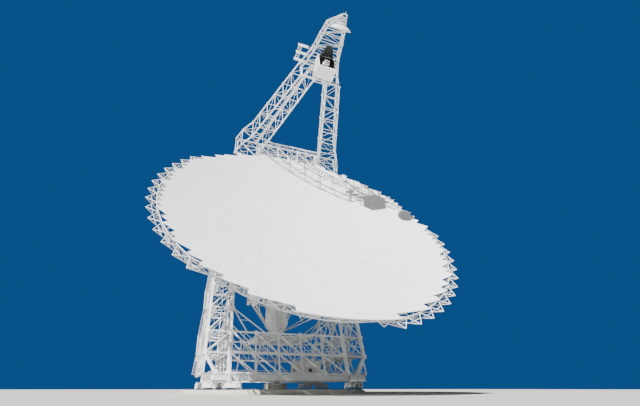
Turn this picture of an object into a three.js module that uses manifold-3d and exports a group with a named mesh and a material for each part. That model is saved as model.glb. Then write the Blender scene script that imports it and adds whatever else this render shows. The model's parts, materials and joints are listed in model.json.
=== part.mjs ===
// A fully steerable radio telescope with an off-axis reflector, as a model at one tenth of its real size.
// Millimetres, +Z up. The origin is the centre of the azimuth track at ground level, X runs along
// the elevation axle, and the dish looks towards -Y. It is shown looking low, near the horizon.

import * as THREE from 'three';
import { mergeVertices } from 'three/addons/utils/BufferGeometryUtils.js';
import Module from 'manifold-3d';

const wasm = await Module();
wasm.setup();

const seatGap = 0.3; // left between pieces that rest on each other
const restElevation = 14.5; // degrees above the horizon

// Azimuth track and its foundation
const trackRadius = 3200;
const ringWidth = 300;
const ringHeight = 120;
const railWidth = 60;
const railHeight = 20;
const ringSides = 40;
const pierRadius = 420;
const pierHeight = 330;
const pintleRadius = 90;
const pintleTop = 600;

// Wheels and their trucks
const wheelRadius = 75;
const wheelWidth = 36;
const axlePinRadius = 20;
const wheelPitch = 400;
const wheelClearance = 9;
const wheelSides = 14;
const axleRunningGap = 0.9;
const housingHalf = 120; // along the track
const housingDrop = 45; // below the wheel's axis
const truckPlate = 22;
const truckTop = 300;
const equaliserHalfWidth = 62;
const beamHalfWidth = 80;
const beamDepth = 34;

// Base frame of the alidade, the turning tower
const cornerOffset = 2260;
const cornerBlock = 560;
const girderBottom = 385;
const girderTop = 560;
const girderWidth = 150;
const hubRadius = 260;

// The two leaning faces of the alidade
const faceFootY = 2125;
const faceSlope = 0.4376;
const faceThickness = 84;
const faceBar = 64;
const faceLevels = [640, 1200, 1900, 2750, 3600, 4480];
const innerColumn = 2060;
const outerColumn = 2820;
const outerColumnFoot = 2440;
const faceBays = 5;
const sideBar = 56;
const sideCounts = [4, 3, 3, 2, 1, 1]; // bays of the tower's side at each level
const strutBar = 38;
const platformTop = 1870;
const platformDepth = 80;
const platformBeams = [-900, -350, 350, 900];
const platformHalf = 935;
const driveTop = 2005;
const driveSpan = [100, 400]; // each drive housing, from the middle outwards
const driveHalf = 420;
const roomSide = [420, 1320]; // equipment room on the base frame
const roomDepth = [-1300, -460];
const roomHeight = 460;

// Elevation axle
const axleHeight = 4830;
const shaftRadius = 120;
const shaftHalfLength = 2960;
const shaftSides = 48;
const bearingBore = 120.9;
const bearingInner = 2080;
const bearingOuter = 2880;
const bearingHalfDepth = 480;
const bearingFoot = 70;
const bearingRadius = 230;
const hubSides = 24;

// Elevation wheel and counterweights
const gearRadius = 2800;
const gearDepth = 130;
const gearThickness = 70;
const gearStart = 172;
const gearEnd = 288;
const gearSectors = 6;
const gearWeb = 70;
const hubBoss = 300;
const hubLength = 160;
const wheelHub = 440;
const wheelMiddle = 1500;
const weightHalves = [120, 400]; // from the far end of the outline below to its near end
const weightOutline = [[-1550, -330], [-2730, -480], [-2370, -1440], [-1800, -2060], [-1080, -1420]];

// Off-axis paraboloid, centred on the parent vertex
const focalLength = 6000;
const vertexOffset = 5486; // from the elevation axle to the vertex, across the beam
const vertexRise = 1600; // from the elevation axle to the vertex, along the beam
const dishCentre = 5400; // from the vertex to the middle of the round rim
const dishRadius = 5000;
const dishTiers = 22;
const tierAngle = 6;
const skinThickness = 16;

// Lattice that backs the reflector
const ribAngles = [6, 18, 30, 42, 54, 66];
const ribStarts = [800, 2600, 800, 2600, 800, 1400];
const ribBay = 3; // tiers
const ribOverhang = 370;
const ribBar = 36;
const hoopBar = 30;
const ribDrop = 62;
const ribDepthMiddle = 780;
const ribDepthRim = 480;
const hoopTiers = [3, 9, 15, 18, 21];
const upperHoopTiers = [9, 15, 18];
const postRibs = [6, 30, 54];
const postRadius = 15;
const keelBar = 40;
const keelMargin = 100; // from the ends of the frame that the keel legs stand on

// Box structure between the axle and the backing lattice
const seatSlope = 0.45;
const seatRise = 1870;
const boxFrame = 70;
const boxHalfWidth = 1500;
const boxNear = 3250; // end of the box towards the feed arm
const boxFar = 3000;
const boxBoss = 260;
const seatHalfWidth = 1700;
const boxLowNear = [[3250, -340], [1900, -250]]; // lower nodes on the feed arm's side
const boxFeet = [[450, -20], [-450, -20]];
const boxLowFar = [[-2000, 600], [-2550, 1680]];
const boxMiddle = [-1000, 1050];
const boxTops = [3250, 1700, 150, -1400, -2950];

// Feed arm
const armFrontY = 100; // behind the vertex
const armBackY = 1200;
const armFoot = -800;
const armNodes = [-800, 450, 1700, 2950, 4200];
const armOuterHalf = 2250; // half widths at the vertex's height, and how fast they shrink
const armOuterSlope = 0.33;
const armInnerHalf = 1430;
const armInnerSlope = 0.275;
const armFlare = 180; // of the outer chord below the vertex
const armPlate = 50;
const armBar = 46;
const rootLevels = [-280, 250]; // underside of the arm's root from the axle's level, near and far
const rootHalf = 2600;
const headFrontY = 720;
const headRises = [5050, 5700, 6250];
const headHalves = [820, 560, 460, 360];
const headBar = 34;
const apexHalf = 70;
const apexBack = 260;
const apexRise = 7040;
const mastHeight = 110;
const roomHalf = 390;
const roomFront = -230;
const mirrorTilt = 23.5; // degrees
const mirrorBack = 130;
const mirrorRise = 6540;
const mirrorRadius = 400;
const mirrorDepth = 55;
const mirrorHollow = 35;
const mirrorMount = 190;

const xAxis = new THREE.Vector3(1, 0, 0);
const zAxis = new THREE.Vector3(0, 0, 1);
const radians = THREE.MathUtils.degToRad;

const painted = { color: 0xdfe2e4, roughness: 0.5, metalness: 0.1 };
const steel = { color: 0x8d9093, roughness: 0.4, metalness: 0.8 };
const concrete = { color: 0xb9b4a8, roughness: 0.9, metalness: 0 };
const surface = { color: 0xf1f3f4, roughness: 0.45, metalness: 0.1 };
const cladding = { color: 0xe9ebea, roughness: 0.6, metalness: 0 };

const telescope = new THREE.Group();
const tipping = new THREE.Group();
tipping.position.z = axleHeight;
tipping.rotation.x = radians(90 - restElevation);
telescope.add(tipping);

function addPiece(parent, name, geometry, finish) {
  const mesh = new THREE.Mesh(geometry, new THREE.MeshStandardMaterial(finish));
  mesh.name = name;
  parent.add(mesh);
  return mesh;
}

// Solids from closed meshes, and back
function solidOf(geometry, matrix = new THREE.Matrix4()) {
  const plain = geometry.clone().applyMatrix4(matrix);
  plain.deleteAttribute('normal');
  plain.deleteAttribute('uv');
  const merged = mergeVertices(plain, 1e-3);
  return new wasm.Manifold(new wasm.Mesh({
    numProp: 3,
    vertProperties: new Float32Array(merged.attributes.position.array),
    triVerts: new Uint32Array(merged.index.array),
  }));
}

function geometryOf(solid) {
  const mesh = solid.asOriginal().simplify(0.01).getMesh();
  const geometry = new THREE.BufferGeometry();
  geometry.setAttribute('position', new THREE.BufferAttribute(mesh.vertProperties, 3));
  geometry.setIndex(new THREE.BufferAttribute(mesh.triVerts, 1));
  return geometry;
}

function fuse(solids) {
  return wasm.Manifold.union(solids);
}

// A straight bar of rectangular section from one point to another
function bar(from, to, width, depth = width, up = zAxis) {
  const start = new THREE.Vector3(...from);
  const end = new THREE.Vector3(...to);
  const along = end.clone().sub(start);
  const length = along.length();
  along.normalize();
  const side = new THREE.Vector3().crossVectors(up, along);
  if (side.length() < 1e-3) side.crossVectors(xAxis, along);
  side.normalize();
  const top = new THREE.Vector3().crossVectors(along, side);
  const matrix = new THREE.Matrix4().makeBasis(along, side, top);
  matrix.setPosition(start.add(end).multiplyScalar(0.5));
  return solidOf(new THREE.BoxGeometry(length, width, depth), matrix);
}

function box(low, high) {
  const size = high.map((value, i) => value - low[i]);
  const middle = high.map((value, i) => (value + low[i]) / 2);
  return new THREE.BoxGeometry(...size).translate(...middle);
}

// A round bar along X, Y or Z
function round(radius, length, sides, axis, centre) {
  const geometry = new THREE.CylinderGeometry(radius, radius, length, sides);
  if (axis === 'x') geometry.rotateZ(Math.PI / 2);
  if (axis === 'z') geometry.rotateX(Math.PI / 2);
  return geometry.translate(...centre);
}

// A polygon that runs anticlockwise, as points in the plane
function anticlockwise(points) {
  const corners = points.map(([x, y]) => new THREE.Vector2(x, y));
  return THREE.ShapeUtils.area(corners) < 0 ? corners.toReversed() : corners;
}

// Moves each side of an anticlockwise polygon outwards, or inwards for a negative distance
function offsetPolygon(corners, distance) {
  const outward = (a, b) => new THREE.Vector2(b.y - a.y, a.x - b.x).normalize();
  return corners.map((corner, i) => {
    const before = outward(corners.at(i - 1), corner);
    const after = outward(corner, corners[(i + 1) % corners.length]);
    const bisector = before.clone().add(after).normalize();
    return corner.clone().addScaledVector(bisector, distance / bisector.dot(before));
  });
}

// A flat lattice of one thickness. The outline, the open cells and the filled plates are drawn on
// the bars' centre lines, and the cells and plates together fill the outline.
function lattice(outline, cells, barWidth, thickness, plates = []) {
  const positions = [];
  const triangles = [];
  const known = new Map();
  const corner = (point, z) => {
    const key = `${point.x.toFixed(2)} ${point.y.toFixed(2)} ${z}`;
    if (!known.has(key)) {
      known.set(key, positions.length / 3);
      positions.push(point.x, point.y, z);
    }
    return known.get(key);
  };
  const face = (points, z) => {
    const ordered = (z > 0 ? points : points.toReversed()).map((point) => corner(point, z));
    for (let i = 1; i < ordered.length - 1; i += 1) triangles.push(ordered[0], ordered[i], ordered[i + 1]);
  };
  const half = thickness / 2;
  const band = (outer, inner) => outer.forEach((point, i) => {
    const next = (i + 1) % outer.length;
    for (const z of [half, -half]) face([point, outer[next], inner[next], inner[i]], z);
  });
  const wall = (from, to) => {
    const [a, b, c, d] = [corner(from, -half), corner(to, -half), corner(to, half), corner(from, half)];
    triangles.push(a, b, c, a, c, d);
  };
  const middle = anticlockwise(outline);
  const edge = offsetPolygon(middle, barWidth / 2);
  band(edge, middle);
  edge.forEach((point, i) => wall(point, edge[(i + 1) % edge.length]));
  for (const cell of cells.map(anticlockwise)) {
    const hole = offsetPolygon(cell, -barWidth / 2);
    band(cell, hole);
    hole.forEach((point, i) => wall(hole[(i + 1) % hole.length], point));
  }
  for (const plate of plates.map(anticlockwise)) {
    for (const z of [half, -half]) face(plate, z);
  }
  const geometry = new THREE.BufferGeometry();
  geometry.setAttribute('position', new THREE.Float32BufferAttribute(positions, 3));
  geometry.setIndex(triangles);
  return geometry;
}

// Triangles between two rows of points that run the same way
function zigzag(lower, upper) {
  const cells = [];
  let i = 0;
  let j = 0;
  while (i < lower.length - 1 || j < upper.length - 1) {
    const lowerShare = (i + 1) / lower.length;
    const upperShare = (j + 1) / upper.length;
    const stepLower = j === upper.length - 1 || (i < lower.length - 1 && lowerShare <= upperShare);
    if (stepLower) {
      cells.push([lower[i], lower[i + 1], upper[j]]);
      i += 1;
    } else {
      cells.push([lower[i], upper[j + 1], upper[j]]);
      j += 1;
    }
  }
  return cells;
}

function spread(from, to, count) {
  return Array.from({ length: count + 1 }, (_, i) => THREE.MathUtils.lerp(from, to, i / count));
}

// Drawings are made in X and Y: these stand them up across the axle, facing Y or X
const facingY = new THREE.Matrix4().makeRotationX(Math.PI / 2);
const facingX = new THREE.Matrix4().makeRotationZ(Math.PI / 2).multiply(facingY);

function shifted(matrix, x, y, z) {
  return new THREE.Matrix4().makeTranslation(x, y, z).multiply(matrix);
}

// Foundation, rail and the pier with the pintle
function ringProfile(inner, outer, low, high) {
  const corners = [[inner, low], [outer, low], [outer, high], [inner, high], [inner, low]];
  return corners.map(([r, z]) => new THREE.Vector2(r, z));
}

function ring(inner, outer, low, high, sides) {
  return new THREE.LatheGeometry(ringProfile(inner, outer, low, high), sides).rotateX(Math.PI / 2);
}

function addFoundation() {
  const inner = trackRadius - ringWidth / 2;
  const outer = trackRadius + ringWidth / 2;
  addPiece(telescope, 'foundation_ring', ring(inner, outer, 0, ringHeight, ringSides), concrete);
  const railLow = ringHeight + seatGap;
  const railInner = trackRadius - railWidth / 2;
  const railOuter = trackRadius + railWidth / 2;
  const railTop = ringHeight + railHeight;
  addPiece(telescope, 'track_rail', ring(railInner, railOuter, railLow, railTop, ringSides), steel);
  const pier = [[0, 0], [pierRadius, 0], [pierRadius, pierHeight], [pintleRadius, pierHeight],
    [pintleRadius, pintleTop], [0, pintleTop]].map(([r, z]) => new THREE.Vector2(r, z));
  addPiece(telescope, 'pintle_pier', new THREE.LatheGeometry(pier, 24).rotateX(Math.PI / 2), concrete);
}

// A truck with its wheel boxes; local X runs along the track and Y away from the centre
const wheelHeight = ringHeight + railHeight + seatGap + wheelRadius;
const wheelTurns = [-1.5, -0.5, 0.5, 1.5].map((step) => (step * wheelPitch) / trackRadius);

function wheelPlace(turn) {
  const matrix = new THREE.Matrix4().makeRotationZ(-turn);
  matrix.setPosition(Math.sin(turn) * trackRadius, (Math.cos(turn) - 1) * trackRadius, 0);
  return matrix;
}

function wheelBox(turn) {
  const halfSlot = wheelWidth / 2 + wheelClearance;
  const halfWidth = halfSlot + truckPlate;
  const slotTop = wheelHeight + wheelRadius + wheelClearance;
  const low = [-housingHalf, -halfWidth, wheelHeight - housingDrop];
  const housing = solidOf(box(low, [housingHalf, halfWidth, truckTop]));
  const slot = solidOf(box([-2 * housingHalf, -halfSlot, 0], [2 * housingHalf, halfSlot, slotTop]));
  const pinLength = 2 * halfSlot + truckPlate;
  const pin = solidOf(round(axlePinRadius, pinLength, 8, 'y', [0, 0, wheelHeight]));
  return housing.subtract(slot).add(pin).transform(wheelPlace(turn).elements);
}

function truckSolid() {
  const top = girderBottom - seatGap;
  const overlap = 2;
  const pieces = wheelTurns.map(wheelBox);
  const reach = wheelPitch / 2 + housingHalf;
  const low = [-reach, -equaliserHalfWidth, truckTop - overlap];
  const equaliser = solidOf(box(low, [reach, equaliserHalfWidth, top - beamDepth + overlap]));
  for (const side of [-1, 1]) {
    pieces.push(equaliser.transform(wheelPlace((side * wheelPitch) / trackRadius).elements));
  }
  const half = wheelPitch + housingHalf / 2;
  pieces.push(solidOf(box([-half, -beamHalfWidth, top - beamDepth], [half, beamHalfWidth, top])));
  return fuse(pieces);
}

function wheelGeometry() {
  const bore = axlePinRadius + axleRunningGap;
  const half = wheelWidth / 2;
  const profile = [[bore, -half], [wheelRadius, -half], [wheelRadius, half], [bore, half], [bore, -half]];
  return new THREE.LatheGeometry(profile.map(([r, y]) => new THREE.Vector2(r, y)), wheelSides);
}

const corners = [['front_left', -1, -1], ['front_right', 1, -1], ['back_left', -1, 1], ['back_right', 1, 1]];

function addTrucks() {
  for (const [name, sideX, sideY] of corners) {
    const truck = new THREE.Group();
    const reach = trackRadius / Math.SQRT2;
    truck.position.set(sideX * reach, sideY * reach, 0);
    truck.rotation.z = Math.atan2(sideY, sideX) - Math.PI / 2;
    telescope.add(truck);
    addPiece(truck, `truck_${name}`, geometryOf(truckSolid()), painted);
    wheelTurns.forEach((turn, i) => {
      const place = wheelPlace(turn);
      place.setPosition(place.elements[12], place.elements[13], wheelHeight);
      const wheel = wheelGeometry().applyMatrix4(place);
      addPiece(truck, `wheel_${name}_${i + 1}`, wheel, steel);
    });
  }
}

// Base frame: side girders that end in corner blocks, cross girders, and diagonals to the pintle hub
function addBaseFrame() {
  const half = cornerBlock / 2;
  for (const [name, side] of [['left', -1], ['right', 1]]) {
    const x = side * cornerOffset;
    const solids = [
      bar([x, -cornerOffset, 0], [x, cornerOffset, 0], girderWidth, girderTop - girderBottom)
        .translate([0, 0, (girderTop + girderBottom) / 2]),
    ];
    for (const end of [-1, 1]) {
      const y = end * cornerOffset;
      const low = [x - half, y - half, girderBottom];
      solids.push(solidOf(box(low, [x + half, y + half, girderTop])));
    }
    addPiece(telescope, `base_girder_${name}`, geometryOf(fuse(solids)), painted);
  }
  const reach = cornerOffset - half - seatGap;
  for (const [name, side] of [['front', -1], ['back', 1]]) {
    const y = side * cornerOffset;
    const low = [-reach, y - girderWidth / 2, girderBottom];
    const high = [reach, y + girderWidth / 2, girderTop];
    addPiece(telescope, `base_girder_${name}`, box(low, high), painted);
  }
  addDiagonals(reach);
}

function addDiagonals(reach) {
  const height = girderTop - girderBottom;
  const middle = (girderTop + girderBottom) / 2;
  const hub = solidOf(round(hubRadius, height, hubSides, 'z', [0, 0, middle]));
  const bore = solidOf(round(pintleRadius + 1, 2 * height, hubSides, 'z', [0, 0, middle]));
  const beam = bar([-reach, -reach, middle], [reach, reach, middle], girderWidth, height);
  const main = fuse([beam, hub]).subtract(bore);
  addPiece(telescope, 'base_diagonal_main', geometryOf(main), painted);
  const start = (hubRadius + seatGap) / Math.SQRT2;
  for (const [name, side] of [['left', -1], ['right', 1]]) {
    const from = [side * start, -side * start, middle];
    const to = [side * reach, -side * reach, middle];
    addPiece(telescope, `base_diagonal_${name}`, geometryOf(bar(from, to, girderWidth, height)), painted);
  }
}

// The leaning faces: drawn with X across and Y up the slope, from the foot
const faceLean = Math.atan(faceSlope);
const faceFootZ = girderTop + seatGap + (faceBar / 2) * Math.cos(faceLean)
  + (faceThickness / 2) * Math.sin(faceLean);
const faceRows = faceLevels.map((z, i) => (i === 0 ? 0 : (z - faceFootZ) / Math.cos(faceLean)));

function faceGroup(side) {
  const turned = new THREE.Group();
  turned.rotation.z = side < 0 ? 0 : Math.PI;
  const face = new THREE.Group();
  face.position.set(0, -faceFootY, faceFootZ);
  face.rotation.x = Math.PI / 2 - faceLean;
  turned.add(face);
  telescope.add(turned);
  return face;
}

function legGeometry(side) {
  const inner = faceRows.map((s) => [side * innerColumn, s]);
  const outer = faceRows.map((s, i) => [side * (i === 0 ? outerColumnFoot : outerColumn), s]);
  const outline = [...inner, ...outer.toReversed()];
  return lattice(outline, zigzag(inner, outer), faceBar, faceThickness);
}

function faceTrussGeometry() {
  const half = innerColumn - faceBar - seatGap;
  const rows = faceRows.slice(0, 3).map((s) => spread(-half, half, faceBays).map((x) => [x, s]));
  const sides = [rows[1].at(-1), ...rows[2].toReversed(), rows[1][0]];
  const outline = [...rows[0], ...sides];
  const cells = [...zigzag(rows[0], rows[1]), ...zigzag(rows[1], rows[2])];
  return lattice(outline, cells, faceBar, faceThickness);
}

function addFaces() {
  for (const [name, side] of [['front', -1], ['back', 1]]) {
    const face = faceGroup(side);
    addPiece(face, `left_${name}_leg`, legGeometry(side), painted);
    addPiece(face, `right_${name}_leg`, legGeometry(-side), painted);
    addPiece(face, `${name}_truss`, faceTrussGeometry(), painted);
  }
}

// The sides of each tower, two flat lattices between the leaning faces with struts across
function faceInnerY(z) {
  return faceFootY - (z - faceFootZ) * faceSlope - faceThickness / 2 / Math.cos(faceLean) - seatGap;
}

function towerSideSolid() {
  const halfAt = (z) => faceInnerY(z) - sideBar / 2 / Math.cos(faceLean);
  const levels = [girderTop + seatGap + sideBar / 2, ...faceLevels.slice(1)];
  const rows = levels.map((z, i) => spread(-halfAt(z), halfAt(z), sideCounts[i]).map((y) => [y, z]));
  const cells = rows.slice(1).flatMap((row, i) => zigzag(rows[i], row));
  const right = rows.slice(1, -1).map((row) => row.at(-1));
  const left = rows.slice(1, -1).map((row) => row[0]).toReversed();
  const outline = [...rows[0], ...right, ...rows.at(-1).toReversed(), ...left];
  const plate = lattice(outline, cells, sideBar, sideBar);
  const outerPlane = outerColumn - faceBar / 2 - seatGap;
  const planes = [innerColumn, outerPlane].map((x) => solidOf(plate, shifted(facingX, x, 0, 0)));
  const struts = [rows[1], rows[3]].flatMap((row) => [row[0], row.at(-1)]).map(([y, z]) => (
    bar([innerColumn, y, z], [outerPlane, y, z], strutBar)));
  return fuse([...planes, ...struts]);
}

function addTowerSides() {
  const side = geometryOf(towerSideSolid());
  addPiece(telescope, 'right_tower_bracing', side, painted);
  addPiece(telescope, 'left_tower_bracing', side, painted).rotation.z = Math.PI;
}

// Bearing block on top of each tower
function addBearings() {
  const base = faceFootZ + (faceRows.at(-1) + faceBar / 2) * Math.cos(faceLean)
    + (faceThickness / 2) * Math.sin(faceLean) + seatGap;
  const middle = (bearingInner + bearingOuter) / 2;
  const length = bearingOuter - bearingInner;
  const foot = base + bearingFoot;
  const outline = [[-bearingHalfDepth, base], [bearingHalfDepth, base], [bearingHalfDepth, foot],
    [bearingRadius, axleHeight], [-bearingRadius, axleHeight], [-bearingHalfDepth, foot]];
  const shape = new THREE.Shape(outline.map(([y, z]) => new THREE.Vector2(y, z)));
  const body = new THREE.ExtrudeGeometry(shape, { depth: length, bevelEnabled: false });
  const block = solidOf(body, shifted(facingX, bearingInner, 0, 0));
  const cap = solidOf(round(bearingRadius, length, hubSides, 'x', [middle, 0, axleHeight]));
  const bore = solidOf(round(bearingBore, 2 * length, shaftSides, 'x', [middle, 0, axleHeight]));
  const bearing = geometryOf(fuse([block, cap]).subtract(bore));
  addPiece(telescope, 'right_bearing', bearing, painted);
  addPiece(telescope, 'left_bearing', bearing, painted).rotation.z = Math.PI;
}

// Platform across the middle of the alidade, with the elevation drives, and the equipment room
function addDrivePlatform() {
  const bottom = platformTop - platformDepth;
  const reach = faceInnerY(platformTop);
  const beamHalf = 35;
  const solids = platformBeams.map((x) => (
    solidOf(box([x - beamHalf, -reach, bottom], [x + beamHalf, reach, platformTop]))));
  const inset = 60;
  const joistHalf = 30;
  for (const y of spread(inset - reach, reach - inset, 4)) {
    const low = [-platformHalf, y - joistHalf, bottom + 10];
    solids.push(solidOf(box(low, [platformHalf, y + joistHalf, platformTop - 8])));
  }
  const [driveFrom, driveTo] = driveSpan;
  for (const x of [-driveTo, driveFrom]) {
    const low = [x, -driveHalf, platformTop - 5];
    solids.push(solidOf(box(low, [x + driveTo - driveFrom, driveHalf, driveTop])));
  }
  addPiece(telescope, 'drive_platform', geometryOf(fuse(solids)), painted);
}

function addEquipmentRoom() {
  const floor = girderTop + seatGap;
  const low = [roomSide[0], roomDepth[0], floor];
  const room = box(low, [roomSide[1], roomDepth[1], floor + roomHeight]);
  addPiece(telescope, 'equipment_room', room, cladding);
}

// Everything below here tips about the axle: Y runs back from the beam's foot, Z along the beam
function addShaft() {
  const shaft = round(shaftRadius, 2 * shaftHalfLength, shaftSides, 'x', [0, 0, 0]);
  addPiece(tipping, 'elevation_shaft', shaft, steel);
}

function polar(radius, degrees) {
  return [radius * Math.cos(radians(degrees)), radius * Math.sin(radians(degrees))];
}

// Hub with a bore that the shaft passes through
function withHub(solid, radius, x, length) {
  const hub = solidOf(round(radius, length, hubSides, 'x', [x, 0, 0]));
  const bore = solidOf(round(shaftRadius + seatGap, 2 * length, shaftSides, 'x', [x, 0, 0]));
  return fuse([solid, hub]).subtract(bore);
}

function addElevationWheel() {
  const steps = 3;
  const rimCentre = gearRadius - gearWeb / 2;
  const rimInner = gearRadius - gearDepth;
  const angles = spread(gearStart, gearEnd, gearSectors * steps);
  const arc = (radius) => angles.map((degrees) => polar(radius, degrees));
  const spokes = [wheelHub, wheelMiddle, rimInner, rimCentre];
  const outline = [[0, 0], ...spokes.slice(0, 3).map((r) => polar(r, gearStart)), ...arc(rimCentre),
    ...spokes.slice(0, 3).map((r) => polar(r, gearEnd)).toReversed()];
  const rim = angles.slice(1).map((to, i) => [
    polar(rimInner, angles[i]), polar(rimInner, to), polar(rimCentre, to), polar(rimCentre, angles[i])]);
  const cells = [];
  const hub = [];
  for (let i = 0; i < angles.length - 1; i += steps) {
    const from = angles[i];
    const to = angles[i + steps];
    const inner = [polar(wheelMiddle, from), ...arc(rimInner).slice(i, i + steps + 1), polar(wheelMiddle, to)];
    cells.push(inner);
    cells.push([polar(wheelHub, from), polar(wheelMiddle, from), polar(wheelMiddle, to), polar(wheelHub, to)]);
    hub.push([[0, 0], polar(wheelHub, from), polar(wheelHub, to)]);
  }
  const web = lattice(outline, cells, gearWeb, gearThickness, [...rim, ...hub]);
  const wheel = withHub(solidOf(web, facingX), hubBoss, 0, hubLength);
  addPiece(tipping, 'elevation_wheel', geometryOf(wheel), painted);
}

// Ballast box beside the wheel, which grows narrower towards its far end
function weightGeometry(side) {
  const shape = new THREE.Shape(weightOutline.map(([y, z]) => new THREE.Vector2(y, z)));
  const block = new THREE.ExtrudeGeometry(shape, { depth: 1, bevelEnabled: false });
  const points = block.getAttribute('position');
  const ends = weightOutline.map(([y]) => y);
  const inner = gearThickness / 2 + seatGap;
  for (let i = 0; i < points.count; i += 1) {
    const share = THREE.MathUtils.inverseLerp(Math.min(...ends), Math.max(...ends), points.getX(i));
    const outer = THREE.MathUtils.lerp(...weightHalves, share);
    const [from, to] = side > 0 ? [inner, outer] : [-outer, -inner];
    points.setZ(i, THREE.MathUtils.lerp(from, to, points.getZ(i)));
  }
  block.computeVertexNormals();
  return block.applyMatrix4(facingX);
}

function addCounterweights() {
  for (const [name, side] of [['right', 1], ['left', -1]]) {
    addPiece(tipping, `counterweight_${name}`, weightGeometry(side), cladding);
  }
}

// The reflector: one half, tier by tier, each tier ended by a line through the vertex
const tierPitch = (2 * dishRadius) / dishTiers;
const tierRadius = (k) => dishCentre - dishRadius + k * tierPitch;
const surfaceRise = (r) => r ** 2 / (4 * focalLength);

function halfAngleAt(r, radius = dishRadius) {
  const cosine = (r ** 2 + dishCentre ** 2 - radius ** 2) / (2 * dishCentre * r);
  return THREE.MathUtils.radToDeg(Math.acos(THREE.MathUtils.clamp(cosine, -1, 1)));
}

const tierEnds = Array.from({ length: dishTiers }, (_, k) => halfAngleAt(tierRadius(k + 0.5)));

function arcAngles(k) {
  const ends = [tierEnds[k - 1], tierEnds[k]].filter((end) => end !== undefined);
  const even = spread(0, 90, 90 / tierAngle).filter((a) => a < Math.max(...ends));
  const spaced = even.filter((a) => ends.every((end) => Math.abs(end - a) > 1));
  return [...spaced, ...ends].sort((a, b) => a - b);
}

function dishPoint(side, r, degrees, drop) {
  const [forward, across] = polar(r, degrees);
  return [side * across, vertexOffset - forward, vertexRise + surfaceRise(r) - drop];
}

function reflectorGeometry(side) {
  const positions = [];
  const triangles = [];
  const arcs = Array.from({ length: dishTiers + 1 }, (_, k) => arcAngles(k));
  const starts = arcs.map((angles, k) => {
    const start = positions.length / 3;
    for (const angle of angles) {
      positions.push(...dishPoint(side, tierRadius(k), angle, 0));
      positions.push(...dishPoint(side, tierRadius(k), angle, skinThickness));
    }
    return start;
  });
  const top = (k, i) => starts[k] + 2 * i;
  const face = (a, b, c) => triangles.push(...(side > 0 ? [a, b, c] : [a, c, b]));
  const wall = (a, b) => {
    face(a, b, a + 1);
    face(b, b + 1, a + 1);
  };
  for (let k = 0; k < dishTiers; k += 1) {
    const near = arcs[k].filter((a) => a <= tierEnds[k]);
    const far = arcs[k + 1].filter((a) => a <= tierEnds[k]);
    let i = 0;
    let j = 0;
    while (i < near.length - 1 || j < far.length - 1) {
      const nearNext = j === far.length - 1 || (i < near.length - 1 && near[i + 1] <= far[j + 1]);
      const third = nearNext ? top(k, i + 1) : top(k + 1, j + 1);
      face(top(k, i), top(k + 1, j), third);
      face(top(k, i) + 1, third + 1, top(k + 1, j) + 1);
      if (nearNext) i += 1;
      else j += 1;
    }
    wall(top(k + 1, 0), top(k, 0));
    wall(top(k, near.length - 1), top(k + 1, far.length - 1));
  }
  for (let k = 0; k <= dishTiers; k += 1) {
    for (let i = 0; i < arcs[k].length - 1; i += 1) {
      const end = arcs[k][i + 1];
      const inner = k > 0 && end <= tierEnds[k - 1];
      const outer = k < dishTiers && end <= tierEnds[k];
      if (inner && !outer) wall(top(k, i + 1), top(k, i));
      if (outer && !inner) wall(top(k, i), top(k, i + 1));
    }
  }
  const geometry = new THREE.BufferGeometry();
  geometry.setAttribute('position', new THREE.Float32BufferAttribute(positions, 3));
  geometry.setIndex(triangles);
  return geometry;
}

function addReflector() {
  for (const [name, side] of [['left', -1], ['right', 1]]) {
    const half = addPiece(tipping, `reflector_${name}`, reflectorGeometry(side), surface);
    half.position.x = (side * seatGap) / 2;
  }
}

// The backing lattice: flat ribs through the vertex, hoops across them, posts up to the skin
function ribDepth(r, degrees) {
  const [forward, across] = polar(r, degrees);
  const share = Math.hypot(forward - dishCentre, across) / dishRadius;
  return THREE.MathUtils.lerp(ribDepthMiddle, ribDepthRim, Math.min(share, 1.1) ** 2);
}

function ribRadii(index) {
  const angle = radians(ribAngles[index]);
  const reach = dishRadius + ribOverhang;
  const end = dishCentre * Math.cos(angle)
    + Math.sqrt(reach ** 2 - (dishCentre * Math.sin(angle)) ** 2);
  const steps = Array.from({ length: Math.ceil(dishTiers / ribBay) }, (_, i) => tierRadius(i * ribBay));
  const inside = steps.filter((r) => r > ribStarts[index] + 300 && r < end - 250);
  return [ribStarts[index], ...inside, end];
}

function ribSolid(side, index) {
  const radii = ribRadii(index);
  const upper = radii.map((r) => [r, surfaceRise(r) - ribDrop]);
  const lower = radii.map((r) => [r, surfaceRise(r) - ribDepth(r, ribAngles[index])]);
  const outline = [...lower, ...upper.toReversed()];
  const plate = lattice(outline, zigzag(lower, upper), ribBar, ribBar);
  const [forward, across] = polar(1, ribAngles[index]);
  const out = new THREE.Vector3(side * across, -forward, 0);
  const place = new THREE.Matrix4().makeBasis(out, zAxis, new THREE.Vector3().crossVectors(out, zAxis));
  place.setPosition(0, vertexOffset, vertexRise);
  return solidOf(plate, place);
}

function hoopSolids(side) {
  const bars = [];
  for (const tier of hoopTiers) {
    const r = tierRadius(tier);
    const reached = ribAngles.filter((_, i) => {
      const radii = ribRadii(i);
      return r >= radii[0] && r <= radii.at(-1);
    });
    for (let i = 0; i < reached.length - 1; i += 1) {
      const from = reached[i];
      const to = reached[i + 1];
      const sag = surfaceRise(r) * Math.sin(radians((to - from) / 2)) ** 2;
      const topDrop = ribDrop + sag;
      const highTo = dishPoint(side, r, to, topDrop);
      if (upperHoopTiers.includes(tier)) bars.push(bar(dishPoint(side, r, from, topDrop), highTo, hoopBar));
      const lowFrom = dishPoint(side, r, from, ribDepth(r, from));
      const lowTo = dishPoint(side, r, to, ribDepth(r, to));
      bars.push(bar(lowFrom, lowTo, hoopBar));
    }
  }
  return bars;
}

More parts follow.
